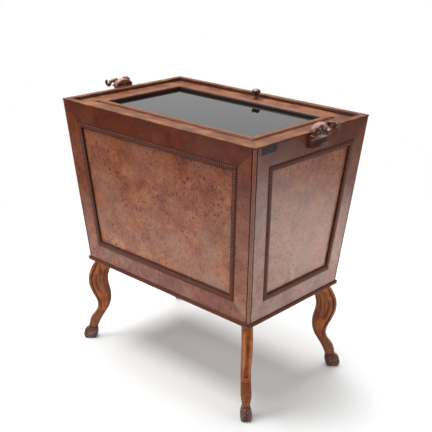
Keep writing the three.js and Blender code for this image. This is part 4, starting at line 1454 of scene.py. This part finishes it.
@dataclass
class Ironwork:
    """The lid's pivots and the handles' screws, with the small screws of the plates."""

    edge: float = 0.0002
    screw_radius: float = 0.0026
    screw_taper_share: float = 0.92
    screw_sides: int = 20
    screw_spread: float = 0.018
    screw_stand: float = 0.0004

    def build(self) -> None:
        """Dresses the iron nodes and adds the plate screws."""
        for label in ("right", "left"):
            for part in ("hinge_plate", "hinge_pin", "handle_screw_1", "handle_screw_2"):
                dress(f"{label}_{part}", OLD_IRON, edge=self.edge)
            self.plate_screws(label)

    def plate_screws(self, label: str) -> None:
        """Sets two countersunk screws in a pivot plate.

        Args:
            label: The end that the plate is on.
        """
        wall = Wall.measured(Side.RIGHT)
        low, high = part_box(f"{label}_hinge_plate")
        middle, level = (low.y + high.y) / 2, (low.z + high.z) / 2
        lean = math.atan2(wall.out_high - wall.out_low, wall.high - wall.low)
        bm = bmesh.new()
        for sign in (-1, 1):
            place = Matrix.Translation((wall.out(level), middle + sign * self.screw_spread, level))
            bmesh.ops.create_cone(
                bm, cap_ends=True, segments=self.screw_sides, radius1=self.screw_radius,
                radius2=self.screw_radius * self.screw_taper_share, depth=2 * self.screw_stand,
                matrix=place @ Matrix.Rotation(math.pi / 2 + lean, 4, "Y"),
            )
        if label == "left":
            bmesh.ops.transform(bm, matrix=Matrix.Diagonal((-1.0, 1.0, 1.0, 1.0)), verts=bm.verts)
            bmesh.ops.reverse_faces(bm, faces=bm.faces)
        finished(bm, f"{label}_plate_screws", OLD_IRON, CASE)


@dataclass(frozen=True)
class Softbox:
    """A square lamp: where it hangs, what it points at, its size and its power in watts."""

    name: str
    place: Triple
    aim: Triple
    size: Pair
    power: float

    def build(self) -> None:
        """Hangs the lamp."""
        lamp = bpy.data.lights.new(self.name, "AREA")
        lamp.shape = "RECTANGLE"
        lamp.size, lamp.size_y = self.size
        lamp.energy = self.power
        piece = bpy.data.objects.new(self.name, lamp)
        bpy.context.scene.collection.objects.link(piece)
        piece.location = self.place
        way = Vector(self.aim) - Vector(self.place)
        piece.rotation_euler = way.to_track_quat("-Z", "Y").to_euler()


@dataclass
class Studio:
    """A white floor, soft lamps and the camera."""

    # The camera: degrees round from the view along +Y, above the horizon and leaning, metres to
    # the point that it looks at, and millimetres of lens and sensor
    azimuth: float = 42.574
    elevation: float = 20.647
    roll: float = 0.888
    distance: float = 2.28987
    aim_height: float = 0.4
    aim_right: float = 0.016368
    aim_up: float = 0.014849
    lens: float = 69.52
    sensor: float = 36.0
    # The paper glows a little for the camera, and fades into the room between near and far
    floor_half: float = 30.0
    floor_colour: str = "#eaecec"
    floor_glow: float = 0.03
    paper_middle: Triple = (0.12, 0.12, 0.0)
    paper_near: float = 0.95
    paper_far: float = 1.6
    # The room's own light, and how bright the room looks in the polish
    ambient: float = 0.27
    gloom: float = 0.1
    lamps: tuple[Softbox, ...] = (
        Softbox("overhead_softbox", (-0.5, 0.0, 2.6), (0.0, 0.0, 0.2), (2.6, 2.0), 124.0),
        Softbox("right_softbox", (2.5, 0.5, 1.5), (0.3, 0.0, 0.45), (1.0, 1.2), 12.0),
        Softbox("pool_softbox", (1.2, 0.95, 0.4), (1.15, 0.9, 0.0), (0.6, 0.6), 6.0),
        Softbox("left_softbox", (-1.5, -2.3, 2.2), (0.0, -0.2, 0.5), (1.4, 1.2), 27.0),
        Softbox("backdrop_softbox", (-2.0, 2.2, 1.85), (0.0, 0.0, 0.75), (3.4, 1.5), 11.5),
        Softbox("rear_softbox", (0.2, 2.6, 2.6), (0.2, 0.0, 0.7), (1.2, 0.8), 6.0),
    )

    def build(self) -> None:
        """Lays the floor, hangs the lamps and sets the camera."""
        self.floor()
        self.room()
        for lamp in self.lamps:
            lamp.build()
        self.camera()
        bpy.context.scene.view_settings.view_transform = "Standard"

    def floor(self) -> None:
        """Lays a pale floor that keeps the object's shadow."""
        bm = bmesh.new()
        bmesh.ops.create_grid(bm, x_segments=1, y_segments=1, size=self.floor_half)
        floor = placed(bm, "studio_floor")
        paper = bpy.data.materials.new("white_backdrop_paper")
        add = cleared(paper)
        direct, mirrored = self.rays(add)
        lit = add("Math", [direct, mirrored], operation="MAXIMUM")
        glow = add("Math", [lit, self.floor_glow], operation="MULTIPLY")
        glow = add("Emission", {"Strength": glow})
        near = add("AddShader", [add("BsdfDiffuse", [linear(self.floor_colour)]), glow])
        far = add("Emission", {"Strength": add("MapRange", [direct, 0.0, 1.0, self.gloom, 1.0])})
        place = add("TexCoord").outputs["Object"]
        place = add("VectorMath", [place, self.paper_middle], operation="SUBTRACT")
        reach = add("VectorMath", [place], operation="LENGTH").outputs["Value"]
        fade = add("MapRange", [reach, self.paper_near, self.paper_far], interpolation_type="SMOOTHSTEP")
        add("OutputMaterial", [add("MixShader", [fade, near, far])])
        floor.data.materials.append(paper)

    @staticmethod
    def rays(add: Adder) -> tuple[bpy.types.Node, bpy.types.NodeSocket]:
        """Tells the kinds of ray apart.

        Args:
            add: What adds a node to the tree.

        Returns:
            Whether a ray comes straight from the camera or through glass, and whether off polish.
        """
        path = add("LightPath").outputs
        direct = add("Math", [path["Is Camera Ray"], path["Is Transmission Ray"]], operation="MAXIMUM")
        return direct, path["Is Glossy Ray"]

    def room(self) -> None:
        """Surrounds the object with white for the camera and soft light for the rest."""
        world = bpy.data.worlds.new("white_room")
        add = cleared(world)
        direct, mirrored = self.rays(add)
        strength = add("MapRange", [mirrored, 0.0, 1.0, self.ambient, self.gloom])
        strength = add("MapRange", [direct, 0.0, 1.0, strength, 1.0])
        add("OutputWorld", [add("Background", [linear("#ffffff"), strength])])
        bpy.context.scene.world = world

    def camera(self) -> None:
        """Puts the camera where the photograph was taken from."""
        azimuth, elevation = math.radians(self.azimuth), math.radians(self.elevation)
        level = math.cos(elevation)
        back = Vector((math.sin(azimuth) * level, -math.cos(azimuth) * level, math.sin(elevation)))
        right = (-back).cross(Vector((0, 0, 1))).normalized()
        up = right.cross(-back)
        place = Vector((0, 0, self.aim_height)) + right * self.aim_right + up * self.aim_up
        place += back * self.distance
        lean = Matrix.Rotation(math.radians(self.roll), 3, back)
        turn = lean @ Matrix((right, up, back)).transposed()
        camera = bpy.data.cameras.new("photo_camera")
        camera.lens = self.lens
        camera.sensor_width = self.sensor
        piece = bpy.data.objects.new("photo_camera", camera)
        bpy.context.scene.collection.objects.link(piece)
        piece.matrix_world = Matrix.Translation(place) @ turn.to_4x4()
        bpy.context.scene.camera = piece


def main() -> None:
    """Builds the object piece by piece, then the studio round it."""
    logging.basicConfig(level=logging.INFO, format="%(name)s: %(message)s")
    Case().build()
    for corner in Corner:
        Leg(corner).build()
    Lid().build()
    for label in ("right", "left"):
        Handle(label).build()
    Ironwork().build()
    Inside().build()
    Studio().build()


if __name__ == "__main__":
    main()
